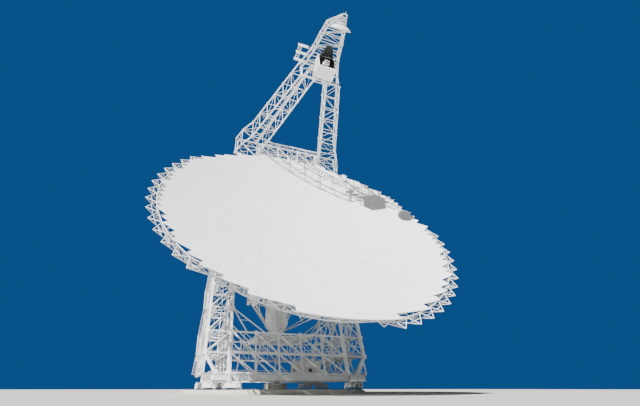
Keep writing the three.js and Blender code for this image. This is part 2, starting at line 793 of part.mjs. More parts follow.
function postSolids(side) {
  const posts = [];
  for (const degrees of postRibs) {
    for (const r of ribRadii(ribAngles.indexOf(degrees)).slice(1, -1)) {
      const tier = Math.round((r - tierRadius(0)) / tierPitch);
      if (degrees > Math.min(tierEnds[tier - 1], tierEnds[tier])) continue;
      const [x, y, z] = dishPoint(side, r, degrees, skinThickness + seatGap);
      const height = ribDrop - skinThickness;
      const cone = new THREE.CylinderGeometry(0, postRadius, height, 4).rotateX(Math.PI / 2);
      posts.push(solidOf(cone.translate(x, y, z - height / 2)));
    }
  }
  return posts;
}

// Short legs from the lattice down to the sloping frame that carries it
const seatLean = Math.atan(seatSlope);
const seatHeight = (y) => seatRise - seatSlope * (y - (vertexOffset - dishCentre));

function keelSolids(side) {
  const legs = [];
  [0, 1, 2].forEach((index) => {
    for (const r of ribRadii(index).slice(1, -1)) {
      const [x, y, z] = dishPoint(side, r, ribAngles[index], ribDepth(r, ribAngles[index]));
      const drop = (z - seatHeight(y)) * Math.cos(seatLean) - seatGap;
      const inFrame = Math.abs(x) < seatHalfWidth && y > -boxFar + keelMargin && y < boxNear - keelMargin;
      if (!inFrame || drop < 0) continue;
      const foot = [x, y - drop * Math.sin(seatLean), z - drop * Math.cos(seatLean)];
      legs.push(bar([x, y, z], foot, keelBar));
    }
  });
  return legs;
}

function addBackingLattice() {
  for (const [name, side] of [['left', -1], ['right', 1]]) {
    const ribs = ribAngles.map((_, i) => ribSolid(side, i));
    const solids = [...ribs, ...hoopSolids(side), ...postSolids(side), ...keelSolids(side)];
    addPiece(tipping, `backing_lattice_${name}`, geometryOf(fuse(solids)), painted);
  }
}

// Box structure: a sloping top frame, a flat lattice on each side and one across
function addBoxStructure() {
  const topMiddle = vertexOffset - dishCentre;
  const near = boxNear - boxFrame / 2 - topMiddle;
  const far = boxFar + topMiddle;
  const stretch = 1 / Math.cos(seatLean);
  const rows = spread(-far * stretch, near * stretch, 4).map((t) => (
    spread(-seatHalfWidth, seatHalfWidth, 3).map((x) => [x, t])));
  const cells = rows.slice(1).flatMap((row, i) => zigzag(rows[i], row));
  const ends = rows.slice(1, -1);
  const outline = [...rows[0], ...ends.map((row) => row.at(-1)), ...rows.at(-1).toReversed(),
    ...ends.map((row) => row[0]).toReversed()];
  const frame = lattice(outline, cells, boxFrame, boxFrame);
  const top = addPiece(tipping, 'box_top_frame', frame, painted);
  top.rotation.x = -seatLean;
  const middleZ = seatRise - boxFrame / 2 / Math.cos(seatLean);
  top.position.set(0, topMiddle, middleZ);
  addBoxSides();
}

function boxTopLine(y) {
  return seatHeight(y) - (boxFrame + seatGap) / Math.cos(seatLean);
}

function addBoxSides() {
  const under = (y) => boxTopLine(y) - boxFrame / 2 / Math.cos(seatLean);
  const [nearTop, topA, topB, topC, farTop] = boxTops.map((y) => [y, under(y)]);
  const [nearLow, lowA] = boxLowNear;
  const [footNear, footFar] = boxFeet;
  const [lowB, lowC] = boxLowFar;
  const outline = [nearLow, lowA, footNear, footFar, lowB, lowC, farTop, topC, topB, topA, nearTop];
  const cells = [
    [nearLow, lowA, nearTop], [lowA, topA, nearTop], [lowA, footNear, topA], [footNear, topB, topA],
    [footNear, footFar, topB], [footFar, boxMiddle, topB], [boxMiddle, topC, topB],
    [footFar, lowB, boxMiddle], [lowB, lowC, boxMiddle], [boxMiddle, lowC, topC], [lowC, farTop, topC],
  ];
  const plate = lattice(outline, cells, boxFrame, boxFrame);
  for (const [name, side] of [['left', -1], ['right', 1]]) {
    const x = side * boxHalfWidth;
    const solid = withHub(solidOf(plate, shifted(facingX, x, 0, 0)), boxBoss, x, hubLength);
    addPiece(tipping, `box_side_${name}`, geometryOf(solid), painted);
  }
}

// Feed arm: two tapering legs, each a pair of flat lattices with struts between them
const armY = (back) => vertexOffset + back;
const armZ = (rise) => vertexRise + rise;
const armOuter = (rise) => armOuterHalf - armOuterSlope * rise + (rise < 0 ? armFlare : 0);
const armInner = (rise) => armInnerHalf - armInnerSlope * rise;

function platePair(outline, cells, barWidth, backs) {
  const plate = lattice(outline, cells, barWidth, armPlate);
  return backs.map((back) => solidOf(plate, shifted(facingY, 0, armY(back), vertexRise)));
}

function armLegSolid(side) {
  const inner = armNodes.map((rise) => [side * armInner(rise), rise]);
  const outer = armNodes.map((rise) => [side * armOuter(rise), rise]);
  const outline = [...inner, ...outer.toReversed()];
  const plates = platePair(outline, zigzag(inner, outer), armBar, [armFrontY, armBackY]);
  const struts = [...inner, ...outer].map(([x, rise]) => (
    bar([x, armY(armFrontY), armZ(rise)], [x, armY(armBackY), armZ(rise)], armBar - 8)));
  const braces = [inner, outer].flatMap((chord) => chord.slice(1).map(([x, rise], i) => {
    const [fromY, toY] = i % 2 ? [armFrontY, armBackY] : [armBackY, armFrontY];
    return bar([chord[i][0], armY(fromY), armZ(chord[i][1])], [x, armY(toY), armZ(rise)], armBar - 12);
  }));
  return fuse([...plates, ...struts, ...braces]);
}

function addArmRoot() {
  const rootTop = armZ(armFoot) - armBar - seatGap;
  const start = boxNear + boxFrame / 2 + armBar / 2 + seatGap;
  const nodes = spread(start, armY(armBackY), 4);
  const upper = nodes.map((y) => [y, rootTop]);
  const lower = nodes.map((y, i) => [y, THREE.MathUtils.lerp(...rootLevels, i / 4)]);
  const outline = [...lower, ...upper.toReversed()];
  const side = lattice(outline, zigzag(lower, upper), armBar, armPlate);
  const solids = [-boxHalfWidth, boxHalfWidth].map((x) => solidOf(side, shifted(facingX, x, 0, 0)));
  const front = spread(-rootHalf, rootHalf, 5).map((x) => [x, armY(armFrontY)]);
  const back = spread(-rootHalf, rootHalf, 5).map((x) => [x, armY(armBackY)]);
  const deck = lattice([...front, ...back.toReversed()], zigzag(front, back), armBar, armBar);
  solids.push(solidOf(deck.translate(0, 0, rootTop)));
  for (const y of nodes.slice(0, 3)) {
    solids.push(bar([-boxHalfWidth, y, rootTop], [boxHalfWidth, y, rootTop], armBar - 8));
  }
  addPiece(tipping, 'arm_root_truss', geometryOf(fuse(solids)), painted);
}

function addFeedArm() {
  addArmRoot();
  addPiece(tipping, 'arm_left_leg', geometryOf(armLegSolid(-1)), painted);
  addPiece(tipping, 'arm_right_leg', geometryOf(armLegSolid(1)), painted);
  addArmHead();
}

// Head of the arm: a base on the two legs, two upright lattices, and four spars to an apex above the mirror
const headBase = armNodes.at(-1) + armBar + seatGap;
const mirrorCentre = [0, armY(mirrorBack), armZ(mirrorRise)];

function alongMirror(distance, across = 0) {
  const lean = radians(mirrorTilt);
  const up = new THREE.Vector3(0, Math.sin(lean), Math.cos(lean));
  const point = new THREE.Vector3(...mirrorCentre).addScaledVector(up, distance);
  return [across, point.y, point.z];
}

function headPoint(x, back, rise) {
  return [x, armY(back), armZ(rise)];
}

// A point on a spar that rises from the top of the upright lattices to the apex
function sparPoint(side, back, share) {
  return headPoint(
    side * THREE.MathUtils.lerp(headHalves.at(-1), apexHalf, share),
    THREE.MathUtils.lerp(back, apexBack, share),
    THREE.MathUtils.lerp(headRises.at(-1), apexRise, share),
  );
}

function sparSolids() {
  const solids = [];
  for (const side of [-1, 1]) {
    for (const back of [headFrontY, armBackY]) {
      solids.push(bar(sparPoint(side, back, 0), sparPoint(side, back, 1), headBar));
    }
    solids.push(bar(sparPoint(side, headFrontY, 0.5), sparPoint(side, armBackY, 0.5), headBar));
    solids.push(bar(sparPoint(side, headFrontY, 0), sparPoint(side, armBackY, 0.5), headBar));
  }
  for (const back of [headFrontY, armBackY]) {
    solids.push(bar(sparPoint(-1, back, 0.5), sparPoint(1, back, 0.5), headBar));
  }
  solids.push(bar(sparPoint(-1, armBackY, 1), sparPoint(1, armBackY, 1), armBar));
  return solids;
}

// Plate on the back of the mirror, and the rods that it hangs from
function hangerSolids() {
  const thickness = 40;
  const plate = new THREE.CylinderGeometry(mirrorMount, mirrorMount, thickness, 16);
  const centre = alongMirror(mirrorDepth + seatGap + thickness / 2);
  const solids = [solidOf(plate.rotateX(Math.PI / 2 - radians(mirrorTilt)).translate(...centre))];
  for (const side of [-1, 1]) {
    const from = alongMirror(mirrorDepth + thickness / 2, side * mirrorMount * 0.75);
    solids.push(bar(from, sparPoint(side, headFrontY, 1), headBar));
    solids.push(bar(from, sparPoint(side, headFrontY, 0.5), headBar));
  }
  return solids;
}

function addArmHead() {
  const rises = [headBase, ...headRises];
  const left = rises.map((rise, i) => [-headHalves[i], rise]);
  const right = rises.map((rise, i) => [headHalves[i], rise]);
  const outline = [...right, ...left.toReversed()];
  const plates = platePair(outline, zigzag(left, right), armBar, [headFrontY, armBackY]);
  const struts = [...left, ...right].map(([x, rise]) => (
    bar(headPoint(x, headFrontY, rise), headPoint(x, armBackY, rise), armBar - 8)));
  const half = headHalves[0];
  const shelf = [-half, half].map((x) => (
    bar(headPoint(x, armFrontY, headBase), headPoint(x, armBackY, headBase), armBar)));
  const sill = bar(headPoint(-half, armFrontY, headBase), headPoint(half, armFrontY, headBase), armBar);
  const apex = headPoint(0, apexBack, apexRise);
  const mast = bar(apex, headPoint(0, apexBack + mastHeight / 2, apexRise + mastHeight), headBar - 10);
  const solids = [...plates, ...struts, ...shelf, sill, ...sparSolids(), ...hangerSolids(), mast];
  addPiece(tipping, 'arm_head', geometryOf(fuse(solids)), painted);
  const floor = armZ(headBase) + armBar / 2 + seatGap;
  const back = armY(headFrontY) - armPlate / 2 - seatGap;
  const room = box([-roomHalf, armY(roomFront), floor], [roomHalf, back, armZ(headRises[0])]);
  addPiece(tipping, 'receiver_room', room, cladding);
  addSubreflector();
}

function addSubreflector() {
  const steps = spread(0, mirrorRadius, 5);
  const front = steps.map((r) => new THREE.Vector2(r, -mirrorHollow * (r / mirrorRadius) ** 2));
  const profile = [...front, new THREE.Vector2(mirrorRadius, 15), new THREE.Vector2(250, mirrorDepth),
    new THREE.Vector2(0, mirrorDepth)];
  const mirror = new THREE.LatheGeometry(profile, 20).rotateX(Math.PI / 2 - radians(mirrorTilt));
  addPiece(tipping, 'subreflector', mirror.translate(...mirrorCentre), surface);
}

addFoundation();
addTrucks();
addBaseFrame();
addFaces();
addTowerSides();
addBearings();
addDrivePlatform();
addEquipmentRoom();
addShaft();
addElevationWheel();
addCounterweights();
addReflector();
addBackingLattice();
addBoxStructure();
addFeedArm();

export default telescope;
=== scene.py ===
import json
import math
import random

import bpy
from mathutils import Matrix, Vector


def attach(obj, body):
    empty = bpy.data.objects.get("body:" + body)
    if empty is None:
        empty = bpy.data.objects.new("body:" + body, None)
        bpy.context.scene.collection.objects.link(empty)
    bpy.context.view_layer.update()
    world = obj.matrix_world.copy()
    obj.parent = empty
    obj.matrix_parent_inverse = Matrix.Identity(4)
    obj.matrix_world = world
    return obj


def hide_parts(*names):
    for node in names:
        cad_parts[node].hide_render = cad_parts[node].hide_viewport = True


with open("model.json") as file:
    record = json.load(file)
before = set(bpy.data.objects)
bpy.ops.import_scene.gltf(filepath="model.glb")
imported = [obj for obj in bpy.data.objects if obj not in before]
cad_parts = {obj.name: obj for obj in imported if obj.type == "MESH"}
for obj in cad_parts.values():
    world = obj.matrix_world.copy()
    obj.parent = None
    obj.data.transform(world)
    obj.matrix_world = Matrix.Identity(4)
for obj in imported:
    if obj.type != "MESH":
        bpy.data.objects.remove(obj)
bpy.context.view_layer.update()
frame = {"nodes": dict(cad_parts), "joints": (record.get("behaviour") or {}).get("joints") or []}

joints = {joint["name"]: joint for joint in frame["joints"]}
axleHeight = joints["elevation"]["pos_m"][2]
restElevation = 14.5  # degrees that the dish looks above the horizon at rest
tipFrame = (Matrix.Translation((0, 0, axleHeight))
            @ Matrix.Rotation(math.radians(90 - restElevation), 4, "X"))
sides = {"left": -1, "right": 1}

# Camera, set by the picture's frame of 640 by 406 pixels
eye = {"distance": 15.694, "azimuth": 13.52, "height": 0.16, "turn": 8.68, "tilt": 27.16,
       "focal": 369.5, "centre": (338.7, 199.0), "image": (640, 406), "sensor": 36}


def placeCamera():
    around = math.radians(eye["azimuth"])
    width, height = eye["image"]
    bpy.ops.object.camera_add(
        location=(-eye["distance"] * math.sin(around), -eye["distance"] * math.cos(around), eye["height"]),
        rotation=(math.radians(90 + eye["tilt"]), 0, -math.radians(eye["azimuth"] + eye["turn"])))
    camera = bpy.context.active_object
    camera.data.sensor_width = eye["sensor"]
    camera.data.lens = eye["focal"] / width * eye["sensor"]
    camera.data.shift_x = (width / 2 - eye["centre"][0]) / width
    camera.data.shift_y = (eye["centre"][1] - height / 2) / width
    camera.data.clip_end = 500
    bpy.context.scene.camera = camera


placeCamera()


# Small tools for numbers
def lerp(a, b, share):
    return a + (b - a) * share


def spread(start, end, count):
    return [lerp(start, end, i / count) for i in range(count + 1)]


def pairs(items):
    # each item with the next one
    return list(zip(items, items[1:]))


def pairsRound(items):
    # the same, and the last item with the first
    return list(zip(items, items[1:] + items[:1]))


def shift(x, y, z):
    return Matrix.Translation((x, y, z))


def spin(degrees, axis):
    return Matrix.Rotation(math.radians(degrees), 4, axis)


def polar(radius, degrees):
    return radius * math.cos(math.radians(degrees)), radius * math.sin(math.radians(degrees))


# Small tools for meshes
def pick(obj):
    bpy.ops.object.select_all(action="DESELECT")
    obj.select_set(True)
    bpy.context.view_layer.objects.active = obj
    return obj


def newMesh(name, points, edges=(), faces=()):
    mesh = bpy.data.meshes.new(name)
    mesh.from_pydata([tuple(point) for point in points], edges, faces)
    obj = bpy.data.objects.new(name, mesh)
    bpy.context.scene.collection.objects.link(obj)
    return pick(obj)


def applyAll(obj):
    pick(obj)
    bpy.ops.object.transform_apply(location=True, rotation=True, scale=True)
    return obj


def modify(obj, kind, **values):
    pick(obj)
    modifier = obj.modifiers.new(kind.title(), kind)
    for key, value in values.items():
        setattr(modifier, key, value)
    bpy.ops.object.modifier_apply(modifier=modifier.name)
    return obj


def bevelled(obj, width, degrees):
    # cuts the edges that turn by more than the given angle
    return modify(obj, "BEVEL", width=width, segments=1, limit_method="ANGLE",
                  angle_limit=math.radians(degrees))


def editAll(obj, *steps):
    # runs mesh operators in edit mode, each on everything in the object
    pick(obj)
    bpy.ops.object.mode_set(mode="EDIT")
    for operator, values in steps:
        bpy.ops.mesh.select_all(action="SELECT")
        operator(**values)
    bpy.ops.object.mode_set(mode="OBJECT")


def outward(obj):
    editAll(obj, (bpy.ops.mesh.normals_make_consistent, {"inside": False}))


def join(name, parts):
    bpy.ops.object.select_all(action="DESELECT")
    for part in parts:
        part.select_set(True)
    bpy.context.view_layer.objects.active = parts[0]
    if len(parts) > 1:
        bpy.ops.object.join()
    parts[0].name = name
    parts[0].data.name = name
    return parts[0]


def smooth(obj, angle=35):
    pick(obj)
    bpy.ops.object.shade_smooth_by_angle(angle=math.radians(angle))
    return obj


def moved(obj, matrix):
    obj.data.transform(matrix)
    if matrix.determinant() < 0:
        obj.data.flip_normals()
    return obj


def copyOf(obj, matrix=Matrix()):
    twin = obj.copy()
    twin.data = obj.data.copy()
    bpy.context.scene.collection.objects.link(twin)
    return moved(twin, matrix)


def scatter(name, obj, matrices):
    # the object once at each matrix, as one piece
    copies = [copyOf(obj, matrix) for matrix in matrices]
    bpy.data.objects.remove(obj)
    return join(name, copies)


def block(low, high, bevel=0.004):
    bpy.ops.mesh.primitive_cube_add(size=1, location=(Vector(low) + Vector(high)) / 2)
    obj = bpy.context.active_object
    obj.scale = Vector(high) - Vector(low)
    applyAll(obj)
    if bevel:
        editAll(obj, (bpy.ops.mesh.bevel, {"offset": bevel, "segments": 1, "affect": "EDGES"}))
    return obj


def boxes(corner, spans, bevel=0.004):
    # blocks whose low and high corners are measured from one corner
    return [block(Vector(corner) + Vector(low), Vector(corner) + Vector(high), bevel) for low, high in spans]


def drum(radius, length, axis, centre, sidesRound=24, bevel=0.003):
    turn = {"X": (0, math.pi / 2, 0), "Y": (math.pi / 2, 0, 0), "Z": (0, 0, 0)}[axis]
    bpy.ops.mesh.primitive_cylinder_add(vertices=sidesRound, radius=radius, depth=length,
                                        location=centre, rotation=turn)
    obj = applyAll(bpy.context.active_object)
    if bevel:
        bevelled(obj, bevel, 50)
    return smooth(obj)


def turned(name, profile, steps=48, axis="Z"):
    # profile is (radius, height) pairs along Z, spun round and then laid along the axis
    obj = newMesh(name, [(radius, 0, height) for radius, height in profile], pairs(range(len(profile))))
    editAll(obj, (bpy.ops.mesh.spin, {"steps": steps, "angle": math.radians(360), "center": (0, 0, 0),
                                      "axis": (0, 0, 1), "use_auto_merge": True}),
            (bpy.ops.mesh.remove_doubles, {"threshold": 1e-5}))
    outward(obj)
    if axis == "X":
        moved(obj, spin(90, "Y"))
    if axis == "Y":
        moved(obj, spin(-90, "X"))
    return smooth(obj)


def sleeve(name, bore, outer, half, steps=48):
    # a ring along X, bored through
    return turned(name, [(outer, -half), (outer, half), (bore, half), (bore, -half), (outer, -half)],
                  steps, "X")


def slab(name, outline, depth, bevel=0.0):
    # outline is points on a plane, depth the vector that the face is extruded along
    obj = newMesh(name, outline, faces=[list(range(len(outline)))])
    editAll(obj, (bpy.ops.mesh.extrude_region_move, {"TRANSFORM_OT_translate": {"value": tuple(depth)}}))
    outward(obj)
    if bevel:
        bevelled(obj, bevel, 20)
    return obj


def tubes(name, lines, width, square=False):
    # each line of two or more points becomes a bar
    points, edges = [], []
    for line in lines:
        edges += pairs(range(len(points), len(points) + len(line)))
        points += [tuple(point) for point in line]
    newMesh(name, points, edges)
    bpy.ops.object.convert(target="CURVE")
    curve = bpy.context.active_object.data
    curve.dimensions = "3D"
    curve.bevel_depth = width / math.sqrt(2) if square else width / 2
    curve.bevel_resolution = 0 if square else 1
    curve.use_fill_caps = True
    if square:
        for spline in curve.splines:
            for point in spline.points:
                point.tilt = math.pi / 4
    bpy.ops.object.convert(target="MESH")
    obj = bpy.context.active_object
    obj.name = name
    return obj if square else smooth(obj, 65)


def beams(name, lines, width):
    return tubes(name, lines, width, square=True)


def tipped(obj):
    return moved(obj, tipFrame)


def zigzag(lower, upper):
    # triangles between two rows of points that run the same way
    cells = []
    i = j = 0
    while i < len(lower) - 1 or j < len(upper) - 1:
        lowerNext = i < len(lower) - 1 and (i + 1) / len(lower) <= (j + 1) / len(upper)
        if j == len(upper) - 1 or lowerNext:
            cells.append((lower[i], lower[i + 1], upper[j]))
            i += 1
        else:
            cells.append((lower[i], upper[j + 1], upper[j]))
            j += 1
    return cells


def sidesOf(shapes):
    # every side of the shapes once
    found = {}
    for shape in shapes:
        for a, b in pairsRound(shape):
            found[frozenset(tuple(round(v, 4) for v in end) for end in (a, b))] = (a, b)
    return list(found.values())


def cornersOf(bars):
    return list({tuple(round(v, 4) for v in end) for bar in bars for end in bar})


def finerBars(cells, longest):
    # joins the middles of a cell's sides where the cell is large
    bars = []
    for cell in cells:
        ends = [(Vector(a), Vector(b)) for a, b in pairsRound(cell)]
        if max((a - b).length for a, b in ends) > longest:
            bars += pairsRound([(a + b) / 2 for a, b in ends])
    return bars


def railing(path, height=0.11, spacing=0.17):
    # posts, a top rail and a knee rail along a path, standing straight up
    lines = []
    up = Vector((0, 0, height))
    for a, b in pairs(path):
        a, b = Vector(a), Vector(b)
        count = max(1, round((b - a).length / spacing))
        feet = [a.lerp(b, i / count) for i in range(count + 1)]
        lines += [(foot, foot + up) for foot in feet]
        lines += [(a + up * share, b + up * share) for share in (0.5, 1)]
    return lines


def gussets(name, points, size, thickness, turn=Matrix()):
    # flat plates where bars meet, with cut corners
    half, cut = size / 2, size * 0.3
    outline = [(-half, 0, -cut), (-cut, 0, -half), (cut, 0, -half), (half, 0, -cut),
               (half, 0, cut), (cut, 0, half), (-cut, 0, half), (-half, 0, cut)]
    plate = slab(name, outline, (0, thickness, 0))
    moved(plate, shift(0, -thickness / 2, 0))
    return scatter(name, plate, [shift(*point) @ turn for point in points])


def bolts(name, count, circle, size, axis, centre, length=0.012):
    # a ring of hexagon heads round the axis
    head = drum(size, length, "Z", (0, 0, 0), 6, 0)
    ringed = scatter(name, head, [spin(360 * i / count, "Z") @ shift(circle, 0, 0) for i in range(count)])
    if axis == "X":
        moved(ringed, spin(90, "Y"))
    if axis == "Y":
        moved(ringed, spin(90, "X"))
    return moved(ringed, shift(*centre))


# Materials
def newGroup(name, inputs, outputs):
    # an empty group with its sockets, and the place on the object that its textures use
    group = bpy.data.node_groups.new(name, "ShaderNodeTree")
    for label in (*inputs, *outputs):
        made = group.interface.new_socket(name=label, in_out="INPUT" if label in inputs else "OUTPUT",
                                          socket_type="NodeSocketFloat")
        if label in inputs:
            made.default_value = inputs[label]
    place = node(group, "ShaderNodeTexCoord").outputs["Object"]
    return group, node(group, "NodeGroupInput"), node(group, "NodeGroupOutput"), place


def node(tree, kind, **values):
    made = tree.nodes.new(kind)
    for key, value in values.items():
        if key in made.inputs:
            made.inputs[key].default_value = value
        else:
            setattr(made, key, value)
    return made


def ranged(tree, source, low, high):
    made = node(tree, "ShaderNodeMapRange")
    made.inputs["From Min"].default_value = low
    made.inputs["From Max"].default_value = high
    tree.links.new(source, made.inputs["Value"])
    return made.outputs["Result"]


def makeGrime():
    # soft dirt in patches and in streaks that run down
    sizes = {"Patch Size": 1.5, "Streak Size": 12}
    group, start, end, place = newGroup("grime", sizes, ("Patches", "Streaks"))
    link = group.links.new
    patches = node(group, "ShaderNodeTexNoise", Detail=6, Roughness=0.6)
    link(place, patches.inputs["Vector"])
    link(start.outputs["Patch Size"], patches.inputs["Scale"])
    squeeze = node(group, "ShaderNodeMapping", Scale=(1, 1, 0.07))
    link(place, squeeze.inputs["Vector"])
    streaks = node(group, "ShaderNodeTexNoise", Detail=3, Roughness=0.5)
    link(squeeze.outputs["Vector"], streaks.inputs["Vector"])
    link(start.outputs["Streak Size"], streaks.inputs["Scale"])
    link(ranged(group, patches.outputs["Fac"], 0.42, 0.72), end.inputs["Patches"])
    link(ranged(group, streaks.outputs["Fac"], 0.5, 0.75), end.inputs["Streaks"])
    return group


def makeGrain():
    # fine unevenness of a coat of paint, of cast concrete or of worn steel
    group, start, end, place = newGroup("grain", {"Scale": 60, "Coarseness": 0.5}, ("Height", "Mottle"))
    link = group.links.new
    fine = node(group, "ShaderNodeTexNoise", Detail=8)
    link(start.outputs["Coarseness"], fine.inputs["Roughness"])
    pits = node(group, "ShaderNodeTexVoronoi")
    for texture in (fine, pits):
        link(place, texture.inputs["Vector"])
        link(start.outputs["Scale"], texture.inputs["Scale"])
    link(fine.outputs["Fac"], end.inputs["Height"])
    link(pits.outputs["Distance"], end.inputs["Mottle"])
    return group


grime = makeGrime()
grain = makeGrain()


mixSockets = {"under": 6, "over": 7, "mixed": 2}  # of a mix node that mixes colours


def blended(tree, under, over, weight):
    # under may be a colour or an earlier mix
    mix = node(tree, "ShaderNodeMix", data_type="RGBA")
    tree.links.new(weight, mix.inputs["Factor"])
    if isinstance(under, tuple):
        mix.inputs[mixSockets["under"]].default_value = (*under, 1)
    else:
        tree.links.new(under, mix.inputs[mixSockets["under"]])
    mix.inputs[mixSockets["over"]].default_value = (*over, 1)
    return mix.outputs[mixSockets["mixed"]]


def makeFinish(name, look):
    # a coat with dirt, streaks, fine grain and, where asked, a tone that each panel has of its own
    material = bpy.data.materials.new(name)
    material.use_nodes = True
    tree = material.node_tree
    link = tree.links.new
    shader = tree.nodes["Principled BSDF"]
    shader.inputs["Metallic"].default_value = look.get("metallic", 0)
    shader.inputs["Coat Weight"].default_value = look.get("coat", 0)
    dirt = node(tree, "ShaderNodeGroup", node_tree=grime)
    dirt.inputs["Patch Size"].default_value = look["patchSize"]
    dirt.inputs["Streak Size"].default_value = look["streakSize"]
    fine = node(tree, "ShaderNodeGroup", node_tree=grain)
    fine.inputs["Scale"].default_value = look["grainScale"]
    fine.inputs["Coarseness"].default_value = look.get("coarseness", 0.5)
    mixed = look["base"]
    for share, source, colour in ((look["patches"], dirt.outputs["Patches"], look["dirty"]),
                                  (look["streaks"], dirt.outputs["Streaks"], look["streak"]),
                                  (look["mottle"], fine.outputs["Mottle"], look["worn"])):
        weight = node(tree, "ShaderNodeMath", operation="MULTIPLY")
        weight.inputs[1].default_value = share
        link(source, weight.inputs[0])
        mixed = blended(tree, mixed, colour, weight.outputs[0])
    if "tones" in look:
        tone = node(tree, "ShaderNodeAttribute", attribute_name=look["tones"])
        toned = node(tree, "ShaderNodeMix", data_type="RGBA", blend_type="MULTIPLY", Factor=1)
        link(mixed, toned.inputs[mixSockets["under"]])
        link(tone.outputs["Color"], toned.inputs[mixSockets["over"]])
        mixed = toned.outputs[mixSockets["mixed"]]
    link(mixed, shader.inputs["Base Color"])
    rough = node(tree, "ShaderNodeMapRange")
    rough.inputs["To Min"].default_value = look["roughness"][0]
    rough.inputs["To Max"].default_value = look["roughness"][1]
    link(fine.outputs["Height"], rough.inputs["Value"])
    link(rough.outputs["Result"], shader.inputs["Roughness"])
    bump = node(tree, "ShaderNodeBump", Strength=look["bump"], Distance=look.get("bumpDepth", 0.002))
    link(fine.outputs["Height"], bump.inputs["Height"])
    link(bump.outputs["Normal"], shader.inputs["Normal"])
    return material


finishes = {
    "paint": {"base": (0.76, 0.77, 0.765), "dirty": (0.60, 0.60, 0.58), "streak": (0.54, 0.52, 0.48),
              "worn": (0.70, 0.70, 0.68), "patches": 0.4, "streaks": 0.22, "mottle": 0.1,
              "patchSize": 1.3, "streakSize": 14, "grainScale": 90, "roughness": (0.38, 0.55),
              "bump": 0.12, "coat": 0.05},
    "panel": {"base": (0.93, 0.935, 0.935), "dirty": (0.78, 0.79, 0.79), "streak": (0.72, 0.72, 0.71),
              "worn": (0.82, 0.83, 0.83), "patches": 0.3, "streaks": 0.1, "mottle": 0.06,
              "patchSize": 0.5, "streakSize": 6, "grainScale": 50, "roughness": (0.42, 0.6),
              "bump": 0.05, "tones": "panelTone"},
    "mirror": {"base": (0.86, 0.865, 0.86), "dirty": (0.72, 0.72, 0.71), "streak": (0.6, 0.6, 0.58),
               "worn": (0.76, 0.76, 0.75), "patches": 0.4, "streaks": 0.2, "mottle": 0.1,
               "patchSize": 3, "streakSize": 20, "grainScale": 80, "roughness": (0.35, 0.5), "bump": 0.06},
    "cladding": {"base": (0.86, 0.86, 0.83), "dirty": (0.64, 0.63, 0.59), "streak": (0.48, 0.45, 0.40),
                 "worn": (0.72, 0.72, 0.69), "patches": 0.35, "streaks": 0.35, "mottle": 0.1,
                 "patchSize": 2.5, "streakSize": 22, "grainScale": 70, "roughness": (0.45, 0.65),
                 "bump": 0.1},
    "ballast": {"base": (0.86, 0.87, 0.86), "dirty": (0.64, 0.64, 0.62), "streak": (0.5, 0.48, 0.44),
                "worn": (0.72, 0.72, 0.7), "patches": 0.35, "streaks": 0.3, "mottle": 0.1,
                "patchSize": 1.8, "streakSize": 16, "grainScale": 70, "roughness": (0.4, 0.6), "bump": 0.1},
    "steel": {"base": (0.42, 0.42, 0.42), "dirty": (0.22, 0.2, 0.18), "streak": (0.3, 0.25, 0.2),
              "worn": (0.6, 0.6, 0.6), "patches": 0.5, "streaks": 0.3, "mottle": 0.3, "patchSize": 8,
              "streakSize": 30, "grainScale": 220, "roughness": (0.25, 0.5), "bump": 0.15, "metallic": 0.9},
    "concrete": {"base": (0.56, 0.53, 0.47), "dirty": (0.36, 0.33, 0.28), "streak": (0.3, 0.28, 0.25),
                 "worn": (0.62, 0.59, 0.53), "patches": 0.6, "streaks": 0.4, "mottle": 0.4, "patchSize": 3,
                 "streakSize": 18, "grainScale": 60, "coarseness": 0.7, "roughness": (0.75, 0.95),
                 "bump": 0.6, "bumpDepth": 0.004},
    # near black, for sheets of painted shade in openings and recesses
    "painted_shade_black": {"base": (0.018, 0.02, 0.022), "dirty": (0.04, 0.04, 0.04), "streak": (0.06, 0.06, 0.06),
             "worn": (0.03, 0.03, 0.03), "patches": 0.4, "streaks": 0.3, "mottle": 0.2, "patchSize": 6,
             "streakSize": 30, "grainScale": 100, "roughness": (0.6, 0.85), "bump": 0.2},
}
materials = {name: makeFinish(name, look) for name, look in finishes.items()}
solidFinishes = {"foundation_ring": "concrete", "pintle_pier": "concrete", "track_rail": "steel",
                 "elevation_shaft": "steel", "wheel_": "steel", "counterweight_": "ballast",
                 "equipment_room": "cladding", "receiver_room": "cladding", "reflector_": "mirror",
                 "subreflector": "mirror"}
# A solid that no piece replaces still gets the finish of its kind
for solidName, solid in frame["nodes"].items():
    fitting = next((solidFinishes[start] for start in solidFinishes if solidName.startswith(start)), "paint")
    solid.data.materials.clear()
    solid.data.materials.append(materials[fitting])
print("materials ready")


def dress(obj, finish, body, replaces=()):
    obj.data.materials.clear()
    obj.data.materials.append(materials[finish])
    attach(obj, body)
    if replaces:
        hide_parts(*replaces)
    return obj


# Reflector: a paraboloid of which the dish is an off-axis disc, given in the tipping frame
dish = {"focal": 6.0, "vertexBack": 5.486, "vertexRise": 1.6, "centre": 5.4, "radius": 5.0, "tiers": 44,
        "panelWidth": 0.235, "gap": 0.007, "thickness": 0.010, "ribHeight": 0.014, "ribReach": 0.9,
        "panelsPerQuarter": (4, 6, 8, 12, 18, 24, 36, 48, 60, 72), "shortPanel": 0.3, "tones": (0.92, 1.0)}
dishMiddle = dish["vertexBack"] - dish["centre"]
tierPitch = 2 * dish["radius"] / dish["tiers"]


def surfaceAt(x, y, drop=0.0):
    away = math.hypot(x, dish["vertexBack"] - y)
    return Vector((x, y, dish["vertexRise"] + away ** 2 / (4 * dish["focal"]) - drop))


def dishPoint(side, radius, angle, drop=0.0):
    forward, across = polar(radius, angle)
    return surfaceAt(side * across, dish["vertexBack"] - forward, drop)


